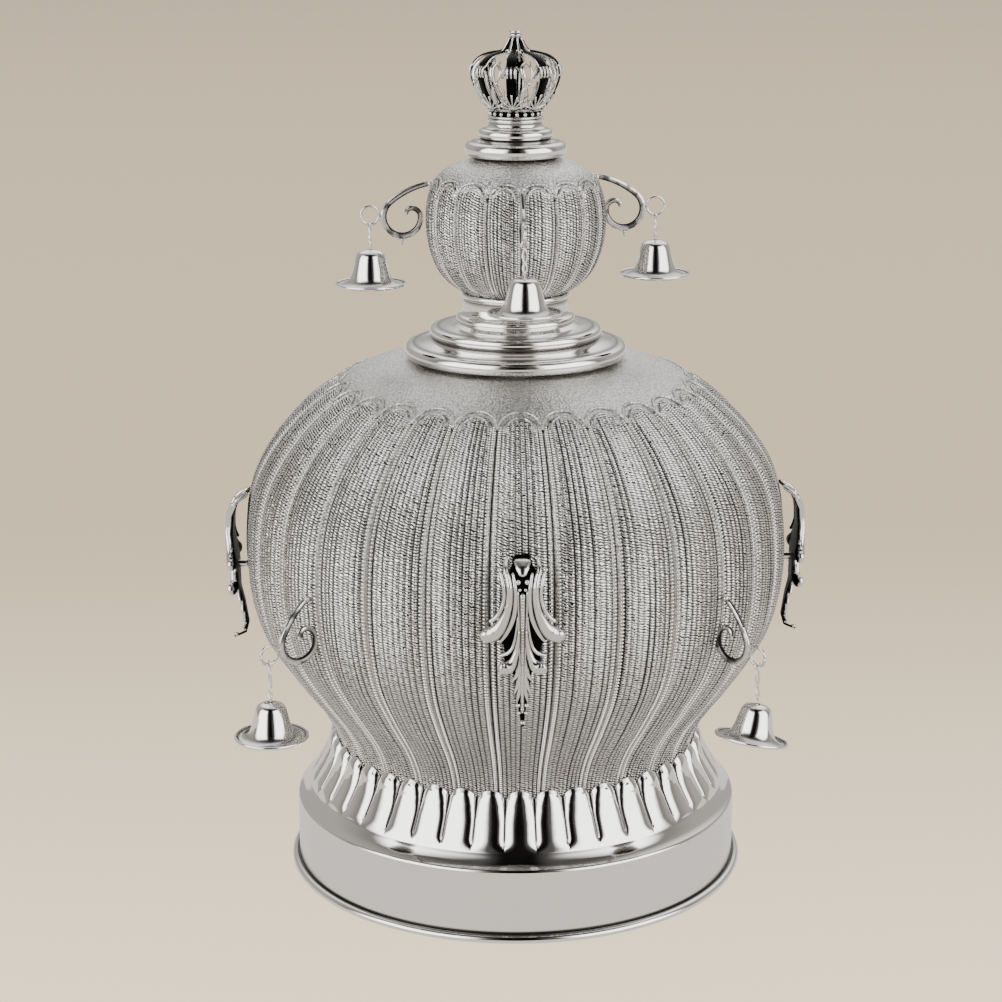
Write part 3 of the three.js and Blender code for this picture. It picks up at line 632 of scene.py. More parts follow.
def chased_shell(name, form, spec, replaces):
    """Spin the form, lay its columns out lobe by lobe, and raise its ridges."""
    columns = lobe_columns(spec["ridges"], spec["groove_share"], spec["cord_share"])
    arch_top = form.place_at_radius(spec["panel_top_radius"])
    outer = spec["places"](form)
    inner = [form.length * share for share in INNER_SHARES]
    profile = [form.profile(place)[:2] for place in outer]
    profile += [form.profile(place)[:2] for place in inner]
    profile.append(profile[0])
    bm = new_bmesh()
    verts = spun(bm, profile, form.lobes * len(columns))
    row_layer = bm.verts.layers.int["row"]
    hollow = bm.verts.layers.float["hollow"]
    matt = bm.verts.layers.float["matt"]
    along = bm.verts.layers.float["along"]
    total = form.lobes * len(columns)
    for vert in verts:
        column = round(azimuth_of(vert) * total / 360) % total
        lobe, index = divmod(column, len(columns))
        x, ridge, kind = columns[index]
        row = vert[row_layer]
        azimuth = form.turn + (lobe + x / 2) * 360 / form.lobes
        if len(outer) <= row < len(outer) + len(inner):
            vert.co = form.point(azimuth, inner[row - len(outer)], -SHEET)
            vert[matt] = 0.4
            continue
        if row >= len(outer):
            vert.co = form.point(azimuth, 0, -SHEET)
            continue
        place = outer[row]
        if row == len(outer) - 1:
            place = form.length
        bow = math.sqrt(max(0.0, 1 - min(1.0, abs(x) / spec["arch_share"]) ** 2))
        limit = arch_top - spec["arch_rise"] * (1 - bow)
        rib = form.rib_place(x)
        under = smoothstep(limit - place, 0.3, 2.4)
        start = smoothstep(place, spec["ridge_start"], spec["ridge_start"] + 9)
        wobble = noise.noise(Vector((lobe * 3.7 + index * 1.3, place * 0.07, 1.0)))
        uneven = noise.noise(Vector((lobe * 5.3, (index // 3) * 2.7, place * 0.012)))
        if kind == "ridge":
            lift = spec["ridge_height"] * under * (0.45 + 0.55 * start) * (1 + 0.3 * wobble + 0.9 * uneven)
        elif kind == "cord":
            lift = spec["ridge_height"] * ridge * under
        else:
            lift = 0.0
        # Painted shade: the groove, the bed of the beaded cords, the valleys between ridges and a line
        # beside each arch are made dark through "hollow".
        below_rib = smoothstep(rib - place, 0.0, 2.0)
        if kind == "groove":
            lift = -spec["groove_cut"] * below_rib
            vert[hollow] = below_rib
        elif kind == "cord":
            vert[hollow] = 0.28 * below_rib
        elif kind == "valley":
            vert[hollow] = under * (0.8 + 0.6 * uneven)
        for line_place, reach in ((rib, 1.3), (limit, 1.1)):
            beside = 1 - min(1.0, abs(place - line_place) / reach)
            vert[hollow] = max(vert[hollow], 0.8 * beside)
        sway = 0.05 * wobble if kind in ("ridge", "valley") else 0.0
        vert.co = form.point(azimuth + sway, place, lift)
        vert[along] = place + 0.19 * column
        vert[matt] = 1 - under if kind != "cord" else max(1 - under, 0.6)
    finish_piece(bm, name, "chased_silver", replaces, sharp=180)


def dome_places(form):
    """Rows up the dome: wide apart on the plain run of the ridges, close together at the arches."""
    dense = form.place_at_radius(82)
    fine = form.place_at_radius(64)
    places = [dense * step / 58 for step in range(58)]
    places += [dense + (fine - dense) * step / 22 for step in range(22)]
    places += [fine + (form.length - fine) * step / 9 for step in range(10)]
    return places


DOME_CHASING = {
    "ridges": 8,
    "groove_share": 0.03,
    "cord_share": 0.19,
    "ridge_height": 0.4,
    "groove_cut": 0.7,
    "panel_top_radius": 70.5,
    "arch_rise": 7.5,
    "arch_share": 0.8,
    "ridge_start": -9,
    "places": dome_places,
}
chased_shell("dome_chased", dome, DOME_CHASING, ["dome"])

# %% [markdown]
# The cords are rows of small beads, punched up along the edges of each lobe. Each bead is drawn with
# only twenty faces, because there are thousands. A row is laid up each side of one lobe, and the spin
# operator copies the pair to the other lobes. An array along a curve could lay them as well, but the
# beads get smaller where the dome narrows, and a loop can give each its own size.

# %% Beaded cords


def flat_bead(bm, centre, across, along, out, size):
    """A bead that is wide across the cord and short along it."""
    frame_of_bead = Matrix((across * size[0], along * size[1], out * size[2])).transposed().to_4x4()
    bmesh.ops.create_icosphere(bm, subdivisions=1, radius=MM,
                               matrix=Matrix.Translation(centre) @ frame_of_bead)


def beaded_cords(name, form, offset_share, start, stop, pitch, size):
    bm = new_bmesh()
    place = start
    widest = max(r for r, h in form.points)
    while place < stop:
        radius, height, out, up = form.profile(place)
        scale = max(0.6, (radius / widest) ** 0.8)
        for side in (-1, 1):
            azimuth = form.turn + side * (1 - offset_share) * 180 / form.lobes
            centre = form.point(azimuth, place, 0.25 * size * scale)
            along = (form.point(azimuth, place + 0.5) - form.point(azimuth, place - 0.5)).normalized()
            beside = form.point(azimuth + 0.3, place) - form.point(azimuth - 0.3, place)
            away = beside.cross(along).normalized()
            across = along.cross(away).normalized()
            bead = (size * scale, 0.44 * pitch * scale, 0.85 * size * scale)
            flat_bead(bm, centre, across, along, away, bead)
        place += scale * pitch
    copied_round(bm, form.lobes)
    finish_piece(bm, name, "polished_silver", sharp=180)


beaded_cords("dome_cords", dome, 0.125, 9, dome.rib_foot + 1.0, 1.42, 1.15)

# %% [markdown]
# Above the ridges each lobe ends in a double arch: a raised wire that runs from groove to groove
# and a thinner one round the top of the corded panel. Each is a wire laid on the lobed surface,
# drawn once and copied round. It could be raised out of the shell's own faces, but they run up and
# down, and an arch that crosses them at a slant would come out stepped.

# %% Arches over the lobes


def arches(name, form, inner, rib_radius):
    """The rib over each lobe, and inside it an arch of (top place, drop, half span as a share)."""
    bm = new_bmesh()
    steps = 26
    ribs = []
    arch = []
    top, drop, span, arch_radius = inner
    for step in range(steps + 1):
        x = math.sin(math.pi * (step / steps - 0.5))
        ribs.append(form.point(form.turn + x * 180 / form.lobes, form.rib_place(x), 0.2 * rib_radius))
        place = top - drop * (1 - math.sqrt(max(0.0, 1 - x * x)) ** 0.9)
        arch.append(form.point(form.turn + x * span * 180 / form.lobes, place, 0.25 * arch_radius))
    wire(bm, ribs, rib_radius, 6)
    wire(bm, arch, arch_radius, 6)
    for vert in bm.verts:
        vert[bm.verts.layers.float["matt"]] = 1.0
    copied_round(bm, form.lobes)
    finish_piece(bm, name, "chased_silver", sharp=180)


arches("dome_arches", dome, (dome.place_at_radius(70.5), 7.5, 0.62, 0.42), 0.55)

# %% [markdown]
# The bulb repeats the dome's chasing on a smaller form with sixteen lobes. The silversmith set it a
# little askew, so that a groove, and not a crest, faces the viewer.

# %% Bulb
BULB_SHARES = [
    (0, 0), (0.1, 0.785), (0.22, 0.905), (0.38, 0.98), (0.54, 1), (0.7, 0.978),
    (0.83, 0.9), (0.93, 0.735), (1, 0),
]
BULB_RADIUS = 35
BULB_FOOT_RADIUS = 20.6
BULB_TOP_RADIUS = 15.6
BULB_BOTTOM = 236.3
BULB_RISE = 52.2
BULB_LOBES = 16
BULB_GROOVE = 1
BULB_TURN = 2.6

bulb_points = outline(BULB_SHARES, BULB_RADIUS, BULB_FOOT_RADIUS, BULB_TOP_RADIUS, BULB_BOTTOM, BULB_RISE)
bulb_turn = BULB_TURN + 180 / BULB_LOBES
bulb = LobedForm(bulb_points, BULB_LOBES, BULB_GROOVE, (0.15, 0.99), bulb_turn, (30.2, 32.6))


def bulb_places(form):
    dense = form.place_at_radius(32.5)
    fine = form.place_at_radius(28)
    places = [dense * step / 34 for step in range(34)]
    places += [dense + (fine - dense) * step / 12 for step in range(12)]
    places += [fine + (form.length - fine) * step / 9 for step in range(10)]
    return places


BULB_CHASING = {
    "ridges": 7,
    "groove_share": 0.05,
    "cord_share": 0.18,
    "ridge_height": 0.3,
    "groove_cut": 0.6,
    "panel_top_radius": 31.2,
    "arch_rise": 5,
    "arch_share": 0.8,
    "ridge_start": -4,
    "places": bulb_places,
}
chased_shell("bulb_chased", bulb, BULB_CHASING, ["bulb"])
beaded_cords("bulb_cords", bulb, 0.15, 4.5, bulb.rib_foot + 0.6, 1.0, 0.7)
arches("bulb_arches", bulb, (bulb.place_at_radius(31.2), 5, 0.62, 0.4), 0.5)

# %% [markdown]
# The base is one spun piece: a rolled foot, a plain drum, a polished shoulder and a flare of
# forty-two gadroons, which are convex flutes raised from inside. The profile is spun once, and then
# each gadroon is rounded across and its top is cut to an arch by lowering the corners. One gadroon
# could be modelled and copied round, but then its seams would have to be merged to close the shell.

# %% Base
DRUM_RADIUS = 90
SHOULDER_RADIUS = 84.5
SHOULDER_HEIGHT = 34.3
GADROONS = 42
GADROON_RISE = 21
GADROON_DEPTH = 1.9
GADROON_ARCH = 5.8
GADROON_FULLNESS = 2.5
GADROON_COLUMNS = [0, 0.3, 0.54, 0.74, 0.87, 0.95, 1.0]

foot_rows = [
    (89.2, 0.0), (91.4, 0.0), (92.4, 0.4), (92.9, 1.1), (93.0, 1.8), (92.6, 2.6), (91.8, 3.15),
    (90.8, 3.4), (90.1, 3.5), (DRUM_RADIUS, 3.9), (DRUM_RADIUS, 4.6),
]
drum_rows = [
    (DRUM_RADIUS, 10.0), (DRUM_RADIUS, 18.0), (DRUM_RADIUS, 25.0), (DRUM_RADIUS, 27.7),
    (89.95, 28.4), (89.7, 28.95), (89.2, 29.3),
]
shoulder_rows = [(87.9, 30.2), (86.7, 31.4), (85.7, 32.8), (84.9, 33.8)]
mouth = along_table([(h, r) for r, h in dome_points], SHOULDER_HEIGHT + GADROON_RISE) + 0.3
flare = SHOULDER_RADIUS - mouth - 0.9
# How far the flare still stands out at each share of its height.
FLARE_SHARES = [
    (0, 1), (0.06, 0.97), (0.14, 0.9), (0.26, 0.74), (0.42, 0.54), (0.58, 0.37), (0.72, 0.27), (0.82, 0.22),
    (0.9, 0.16), (0.95, 0.1), (1, 0),
]
GADROON_ROWS = 22
gadroon_rows = []
for step in range(GADROON_ROWS + 1):
    up = step / GADROON_ROWS
    radius = mouth + 0.9 + flare * along_table(FLARE_SHARES, up)
    gadroon_rows.append((radius, SHOULDER_HEIGHT + GADROON_RISE * up))
lip_rows = [(mouth + 0.75, 55.55), (mouth + 0.4, 55.6), (mouth + 0.1, 55.3), (mouth + 0.05, 54.6)]
inside_rows = [(81.0, 34.3), (88.4, 28.3), (89.2, 27.0), (89.2, 0.0)]
base_profile = foot_rows + drum_rows + shoulder_rows + gadroon_rows + lip_rows + inside_rows
first_gadroon = len(foot_rows) + len(drum_rows) + len(shoulder_rows)
last_gadroon = first_gadroon + GADROON_ROWS
last_lip = last_gadroon + len(lip_rows)
# The crease above the rolled foot is painted dark as shade, and the metal is dull just over it.
foot_crease = range(len(foot_rows) - 4, len(foot_rows) - 1)
dull_rows = range(len(foot_rows) - 1, len(foot_rows) + 3)

base = new_bmesh()
columns = 2 * (len(GADROON_COLUMNS) - 1)
verts = spun(base, base_profile, GADROONS * columns)
row_layer = base.verts.layers.int["row"]
hollow_layer = base.verts.layers.float["hollow"]
matt_layer = base.verts.layers.float["matt"]
for vert in verts:
    row = vert[row_layer]
    column = round(azimuth_of(vert) * GADROONS * columns / 360) % (GADROONS * columns)
    number, index = divmod(column + columns // 2, columns)
    index -= columns // 2
    x = math.copysign(GADROON_COLUMNS[abs(index)], index)
    azimuth = (number + x / 2) * 360 / GADROONS
    radius, height = base_profile[row]
    if first_gadroon <= row <= last_lip:
        up = min(1.0, (row - first_gadroon) / GADROON_ROWS)
        bulge = 1 - math.sqrt(max(0.0, 1 - (0.985 * abs(x)) ** GADROON_FULLNESS))
        depth = GADROON_DEPTH * smoothstep(up, 0.02, 0.16) * (1 - 0.3 * smoothstep(up, 0.85, 1))
        radius -= depth * bulge
        arched = 1 - math.sqrt(max(0.0, 1 - (0.98 * abs(x)) ** 2))
        height -= GADROON_ARCH * arched * smoothstep(up, 0.45, 1.0)
        # Where each gadroon meets its neighbour, its edge is painted dark as shade.
        if abs(index) >= len(GADROON_COLUMNS) - 2:
            vert[hollow_layer] = 0.75 * smoothstep(up, 0.08, 0.2)
    if row in foot_crease:
        vert[hollow_layer] = 0.9
    if row in dull_rows:
        vert[matt_layer] = 0.8
    if row > last_lip:
        vert[matt_layer] = 1.0
    vert.co = polar(radius, azimuth, height)
bmesh.ops.bridge_loops(base, edges=[edge for edge in base.edges if edge.is_boundary])
finish_piece(base, "base_gadrooned", "polished_silver", ["base"], sharp=60)

# %% [markdown]
# The neck and the cap are turned pieces: stacked half-round rings joined by hollow curves. Their
# profiles are drawn as points on those curves and spun with enough steps for clean reflections. A
# Screw modifier would turn them too, but spun vertices can still be told where shade is painted.

# %% Neck and cap
TURNED_STEPS = 120


def half_round(bottom, top, reach, depth, steps=9):
    """Points up the outside of a half-round ring between two heights."""
    points = []
    for step in range(steps):
        angle = math.pi * step / (steps - 1)
        height = (bottom + top) / 2 - (top - bottom) / 2 * math.cos(angle)
        points.append((reach - depth * (1 - math.sin(angle)), height))
    return points


def turned_piece(name, profile, replaces, seams=()):
    """Spin a closed profile; seams are (radius, height) points in mm between two rings, painted dark as
    shade.
    """
    bm = new_bmesh()
    verts = spun(bm, profile + [profile[0]], TURNED_STEPS)
    hollow = bm.verts.layers.float["hollow"]
    for vert in verts:
        radius, height = profile[vert[bm.verts.layers.int["row"]] % len(profile)]
        for seam_radius, seam_height in seams:
            if abs(height - seam_height) < 0.25 and abs(radius - seam_radius) < 0.6:
                vert[hollow] = 0.85
    bmesh.ops.remove_doubles(bm, verts=bm.verts, dist=1e-6)
    finish_piece(bm, name, "polished_silver", replaces, sharp=45)


neck_profile = [
    *half_round(210.3, 215.8, 44.0, 2.3),
    (40.2, 215.9), (37.6, 216.3), (35.2, 217.1), (33.0, 218.1),
    *half_round(218.3, 222.3, 34.0, 1.6),
    (30.6, 222.4), (27.4, 222.6), (24.6, 223.0), (22.6, 223.3),
    *half_round(223.5, 227.0, 23.4, 1.2),
    (21.2, 227.6), (20.7, 229.0), (20.5, 231.5), (20.6, 233.4),
    *half_round(233.7, 235.9, 21.4, 0.8, 5),
    (20.2, 235.9), (20.2, 226.0), (29.0, 220.6), (38.6, 213.6), (38.6, 210.3),
]
turned_piece("neck_turned", neck_profile, ["neck"],
             seams=[(40.2, 215.9), (33.0, 218.1), (30.6, 222.4), (22.6, 223.3), (20.6, 233.4)])

cap_profile = [
    *half_round(288.9, 294.5, 19.9, 2.2),
    (16.6, 294.6), (15.0, 294.9), (13.7, 295.5),
    *half_round(295.7, 299.3, 14.5, 1.3),
    (12.4, 299.5), (11.3, 299.9), (10.6, 300.8), (10.4, 301.8),
    *half_round(302.1, 303.3, 11.0, 0.4, 5),
    (10.2, 303.3), (10.2, 295.0), (14.4, 292.8), (14.4, 288.9),
]
turned_piece("cap_turned", cap_profile, ["cap"],
             seams=[(16.6, 294.6), (13.7, 295.5), (12.4, 299.5), (10.4, 301.8)])

# %% [markdown]
# Each bracket is a cast scroll: an arm that leaves the dome or bulb, bends over into a bowl and
# curls up in a spiral. It carries a wire eye, and its outer side is dressed with a leaf and a drop.
# The scroll is a chain of arcs, the same as in the CAD model, with a section that has two ribs. A
# bent bar could be carved instead, but a section swept along the arcs keeps the ribs even.

# %% Scroll brackets
BOWL_RADIUS = 7.2
QUARTER = -math.pi / 2
SCROLL_ARCS = [
    (32.5, -0.54, 12), (BOWL_RADIUS, -2.44, 18), (0.97 * BOWL_RADIUS, QUARTER, 9),
    (0.47 * BOWL_RADIUS, QUARTER, 8), (0.28 * BOWL_RADIUS, QUARTER, 8),
]
CAD_STEPS = (2, 4, 2, 1, 1)
SCROLL_WIDTH = 2.2
EYE_RADIUS = 3.55
EYE_WIRE = 1.1
EYE_STUB = 1.3
EYE_DIP = 1.1
PEG_RADIUS = 0.75
BUTTON_RADIUS = 1.3
STUB_RADIUS = 0.7
# The balls of the drop: beside and below the bowl's lowest point, and their radius.
DROP_BALLS = [(0.2, 1.9, 0.75), (-1.3, 1.1, 0.6), (1.5, 1.2, 0.6), (0.3, 3.0, 0.5)]
DOUBLE_RIB = [
    (1.0, 0.0), (0.95, 0.5), (0.68, 0.85), (0.35, 0.62), (0.0, 0.42), (-0.35, 0.62), (-0.68, 0.85),
    (-0.95, 0.5), (-1.0, 0.0), (-0.7, -0.6), (0.0, -0.75), (0.7, -0.6),
]
DOUBLE_RIB_HOLLOWS = [0.35, 0.1, 0.0, 0.7, 1.0, 0.7, 0.0, 0.1, 0.35, 0.9, 0.9, 0.9]


def arc_chain(arcs, heading):
    """Points of a chain of arcs from (0, 0), in mm; a negative sweep turns to the right."""
    points = [Vector((0.0, 0.0))]
    angle = heading
    for radius, sweep, steps in arcs:
        bend = sweep / steps
        chord = 2 * radius * math.sin(abs(bend) / 2)
        for _ in range(steps):
            hop = Vector((math.cos(angle + bend / 2), math.sin(angle + bend / 2)))
            points.append(points[-1] + hop * chord)
            angle += bend
    return points


def coarse_arcs(arcs):
    """The same arcs in the long steps of the CAD model, whose outermost point carries the eye."""
    return [(radius, sweep, steps) for (radius, sweep, _), steps in zip(arcs, CAD_STEPS)]


def eye_centre(pitch):
    far = max(arc_chain(coarse_arcs(SCROLL_ARCS), pitch), key=lambda p: p.x)
    return far + Vector((0.4 * SCROLL_WIDTH + EYE_STUB + EYE_RADIUS, -EYE_DIP))


class Stand:
    """The foot of one bracket: x outward, y sideways and z up from a point on the shell."""

    def __init__(self, radius, azimuth, height, swing):
        self.origin = polar(radius, azimuth, height)
        self.turn = Matrix.Rotation(math.radians(azimuth - 90 + swing), 4, "Z")

    def point(self, x, y, z):
        return self.origin + (self.turn @ Vector((x, y, z))) * MM

    def direction(self, x, y, z):
        return (self.turn @ Vector((x, y, z))).normalized()


def scroll_stations(stand, points, half_width, thickness):
    """Stations along a line in the bracket's plane, with the ribs on its outer side."""
    stations = []
    last = len(points) - 1
    for index, point in enumerate(points):
        hop = heading_at(points, index)
        outward = stand.direction(-hop.y, 0, hop.x)
        sideways = stand.direction(0, 1, 0)
        size = half_width(index / last) * MM
        stations.append((stand.point(point.x, 0, point.y), sideways, outward, thickness * MM, size))
    return stations


def scroll_half_width(t):
    ends = min(1.0, t / 0.015) ** 0.5 * min(1.0, (1 - t) / 0.03) ** 0.5
    return ends * (SCROLL_WIDTH / 2) * (0.85 + 0.45 * math.sin(math.pi * min(1, 0.12 + 0.88 * t)) ** 0.7)


def scroll_bracket(name, stand, pitch, replaces):
    bm = new_bmesh()
    points = arc_chain(SCROLL_ARCS, pitch)
    scroll = scroll_stations(stand, points, scroll_half_width, 1.0)
    rolled_tube(bm, scroll, DOUBLE_RIB, hollows=DOUBLE_RIB_HOLLOWS)
    hollow = bm.verts.layers.float["hollow"]
    for vert in bm.verts:
        vert[hollow] = max(vert[hollow], 0.8 * smoothstep(noise.noise(vert.co * 300), 0.05, 0.4))
    lowest = min(points, key=lambda p: p.y)
    # A second, thinner leaf lies along the outside of the bowl and lifts off at its tip.
    bowl = points[9:points.index(lowest) + 7]
    shifted = []
    for index, point in enumerate(bowl):
        hop = heading_at(bowl, index)
        off = 0.8 + 0.5 * smoothstep(index / len(bowl), 0.7, 1.0)
        shifted.append(point + Vector((-hop.y, hop.x)) * off)
    leaf = scroll_stations(stand, shifted,
                           lambda t: 0.75 * math.sin(math.pi * (0.04 + 0.92 * t)) ** 0.6, 0.7)
    rolled_tube(bm, leaf, round_section(8))
    # The drop below the bowl is a bud between beads.
    for beside, below, radius in DROP_BALLS:
        ball(bm, stand.point(lowest.x + beside, 0, lowest.y - below), radius)
    tip = [stand.point(lowest.x + 0.25, 0, lowest.y - 1.5 - 0.35 * i) for i in range(8)]
    wire(bm, tip, lambda t: 0.62 * (1 - t) + 0.12, 8)
    # The foot is a peg with a small button, set down in the groove between two lobes.
    wire(bm, [stand.point(0.8 - 0.5 * step, 0, 0) for step in range(8)], PEG_RADIUS, 8)
    ball(bm, stand.point(0.2, 0, -0.1), BUTTON_RADIUS)
    # The spiral's eye ends in a small ball.
    ball(bm, stand.point(points[-1].x, 0, points[-1].y), PEG_RADIUS)
    # The wire eye stands on a stub.
    centre = eye_centre(pitch)
    ring = [stand.point(centre.x + EYE_RADIUS * math.cos(2 * math.pi * i / 30), 0,
                        centre.y + EYE_RADIUS * math.sin(2 * math.pi * i / 30)) for i in range(31)]
    wire(bm, ring, EYE_WIRE / 2, 8, up=stand.direction(0, 1, 0))
    far = max(points, key=lambda p: p.x)
    stub = [stand.point(far.x - 0.6 + 0.45 * i, 0, far.y - EYE_DIP * min(1, i / 3)) for i in range(6)]
    wire(bm, stub, STUB_RADIUS, 8)
    finish_piece(bm, name, "cast_silver", replaces, sharp=70)


# %% [markdown]
# A bell is spun from thin sheet and has a flat, rolled brim. It hangs from twisted wire that loops
# through the eye and is knotted inside the bell's crown, and it may hang a little askew. The bell is
# spun upright and then tilted as a whole. Its wire is laid along a few curves instead of being
# simulated, because a stiff wire keeps the bends that it was given.

# %% Bells and their wires
LINK_LOOP_RADIUS = 1.35
LINK_WIRE = 0.9
STRAND_RADIUS = 0.34
KNOT_RADIUS = 0.85
bell_outside = [
    (0.78, 0.0), (2.2, -0.1), (3.6, -0.45), (4.7, -1.0), (5.4, -1.8), (5.9, -3.0), (6.45, -5.2),
    (7.0, -7.6), (7.6, -9.8), (8.3, -11.4), (9.0, -12.3), (9.9, -12.95), (10.9, -13.4), (11.9, -13.6),
    (12.6, -13.55), (12.95, -13.2), (13.2, -12.85), (13.6, -12.75), (13.95, -13.05), (14.0, -13.5),
    (13.8, -13.95), (13.3, -14.15),
]
# How dark each row is painted as shade: the corner between body and brim, and the line
# inside the rolled edge.
BELL_HOLLOWS = {9: 0.15, 10: 0.35, 11: 0.4, 12: 0.25, 14: 0.6, 15: 0.8}
bell_inside = [
    (12.5, -14.15), (11.3, -14.1), (9.9, -13.7), (8.7, -12.9), (7.7, -11.6), (6.9, -9.9), (6.3, -7.6),
    (5.75, -5.2), (5.2, -3.1), (4.7, -2.2), (3.9, -1.55), (2.2, -0.9), (0.78, -0.8), (0.78, 0.0),
]


def bell_piece(name, top, axis, replaces):
    """A bell whose hole is at a point in metres and whose axis points up along a direction."""
    bm = new_bmesh()
    row = bm.verts.layers.int["row"]
    hollow = bm.verts.layers.float["hollow"]
    # The inside of the bell is painted dark as shade.
    for vert in spun(bm, bell_outside + bell_inside, 56):
        vert[hollow] = BELL_HOLLOWS.get(vert[row], 0.8 if vert[row] > len(bell_outside) else 0.0)
    bmesh.ops.remove_doubles(bm, verts=bm.verts, dist=1e-6)
    turn = Vector((0, 0, 1)).rotation_difference(axis).to_matrix().to_4x4()
    bmesh.ops.transform(bm, matrix=Matrix.Translation(top) @ turn, verts=bm.verts)
    finish_piece(bm, name, "polished_silver", replaces, sharp=70)


def link_piece(name, top, axis, sideways, drop, replaces):
    """The wire above a bell: a loop in the eye, a twist of two strands and a knot inside the bell."""
    bm = new_bmesh()
    def spot(x, y, z):
        return top + (sideways.cross(axis) * x + sideways * y + axis * z) * MM

    loop = []
    for step in range(22):
        angle = -math.pi / 2 + step * 2 * math.pi / 21
        height = drop + LINK_LOOP_RADIUS * (1 + math.sin(angle))
        loop.append(spot(0.15 * math.sin(angle * 2), LINK_LOOP_RADIUS * math.cos(angle), height))
    wire(bm, loop, STRAND_RADIUS)
    # Between the loop and the bell the wire makes a long figure of eight.
    middle = 0.42 * drop
    for start, end, width in ((drop + 0.3, middle, 0.85), (middle + 0.5, 1.2, 0.8)):
        for side in (-1, 1):
            line = []
            for step in range(13):
                t = step / 12
                swing = math.sin(math.pi * t) * width * side
                line.append(spot(0.3 * side * math.cos(math.pi * t), swing, start + (end - start) * t))
            wire(bm, line, STRAND_RADIUS)
    wire(bm, [spot(0, 0, 1.8 - 0.33 * step) for step in range(10)], STRAND_RADIUS)
    ball(bm, spot(0, 0, -1.9), KNOT_RADIUS)
    finish_piece(bm, name, "polished_silver", replaces, sharp=70)


UPPER = {"height": BULB_BOTTOM + 44.3, "pitch": math.radians(-9), "drop": 8.4}
LOWER = {"height": DOME_BOTTOM + 88.4, "pitch": math.radians(-36), "drop": 13.5}
BELL_SETS = [
    ("upper", "front", 0 + BULB_TURN, -1, {"lift": -2.4, "slack": 1.9}),
    ("upper", "right", 90 + BULB_TURN, 4, {}),
    ("upper", "back", 180 + BULB_TURN, 0, {}),
    ("upper", "left", 270 + BULB_TURN, 4, {"lift": -2.2}),
    ("lower", "front_right", 45, -4, {"lean": 3, "tilt": -16}),
    ("lower", "back_right", 135, 0, {}),
    ("lower", "back_left", 225, 0, {}),
    ("lower", "front_left", 313, -9, {}),
]


def bell_set(level, side, azimuth, swing, extra):
    """One bracket with its wire and bell, from the same places as the CAD model's."""
    size, points = (UPPER, bulb_points) if level == "upper" else (LOWER, dome_points)
    height = size["height"] + extra.get("lift", 0)
    radius = along_table([(h, r) for r, h in points], height) + 0.3 + 0.3 * SCROLL_WIDTH
    stand = Stand(radius, azimuth, height, swing)
    scroll_bracket(f"{level}_bracket_cast_{side}", stand, size["pitch"], [f"{level}_bracket_{side}"])
    centre = eye_centre(size["pitch"])
    hang = stand.point(centre.x, 0, centre.y - EYE_RADIUS + EYE_WIRE / 2 + 0.3 + LINK_WIRE / 2)
    lean = Matrix.Rotation(math.radians(extra.get("lean", 0)), 3, stand.direction(1, 0, 0))
    tilt = Matrix.Rotation(math.radians(extra.get("tilt", 0)), 3, stand.direction(1, 0, 0))
    axis = (lean @ Vector((0, 0, 1))).normalized()
    drop = size["drop"] + extra.get("slack", 0)
    top = hang - axis * (drop + 2 * LINK_LOOP_RADIUS) * MM
    sideways = (lean @ stand.direction(0, 1, 0)).normalized()
    link_piece(f"{level}_wire_{side}", top, axis, sideways, drop, [f"{level}_link_{side}"])
    bell_piece(f"{level}_bell_spun_{side}", top, (tilt @ axis).normalized(), [f"{level}_bell_{side}"])


for bell in BELL_SETS:
    bell_set(*bell)

# %% [markdown]
# The four leaves are castings that stand off the dome on a post. Rolled ribs leave a beaded midrib
# in pairs and end in fat lobes, and between them the leaf is black, painted shade for the gaps. Each
# rib is a tube along a few points, measured across and down from the top of the leaf, over a thin
# black web that carries this painted shade. A leaf could be sculpted, but tubes from one small table
# make four leaves that differ only in place.

# %% Leaf ribs
LEAF_TAIL = DOME_BOTTOM + 50.6
LEAF_RISE = 62
LEAF_POST_SHARE = 0.5
# How far the leaf's middle stands from the dome's wall behind its post, in mm, from tail to top.
LEAF_AWAY = [
    (0, 8.45), (0.03, 3.68), (0.1, 2.54), (0.18, 3.37), (0.25, 4.08), (0.35, 5.7), (0.5, 5.92),
    (0.62, 7.06), (0.72, 7.74), (0.8, 7.39), (0.85, 7.18), (0.94, 4.8), (1, 0.14),
]
dome_radii = [(h, r) for r, h in dome_points]

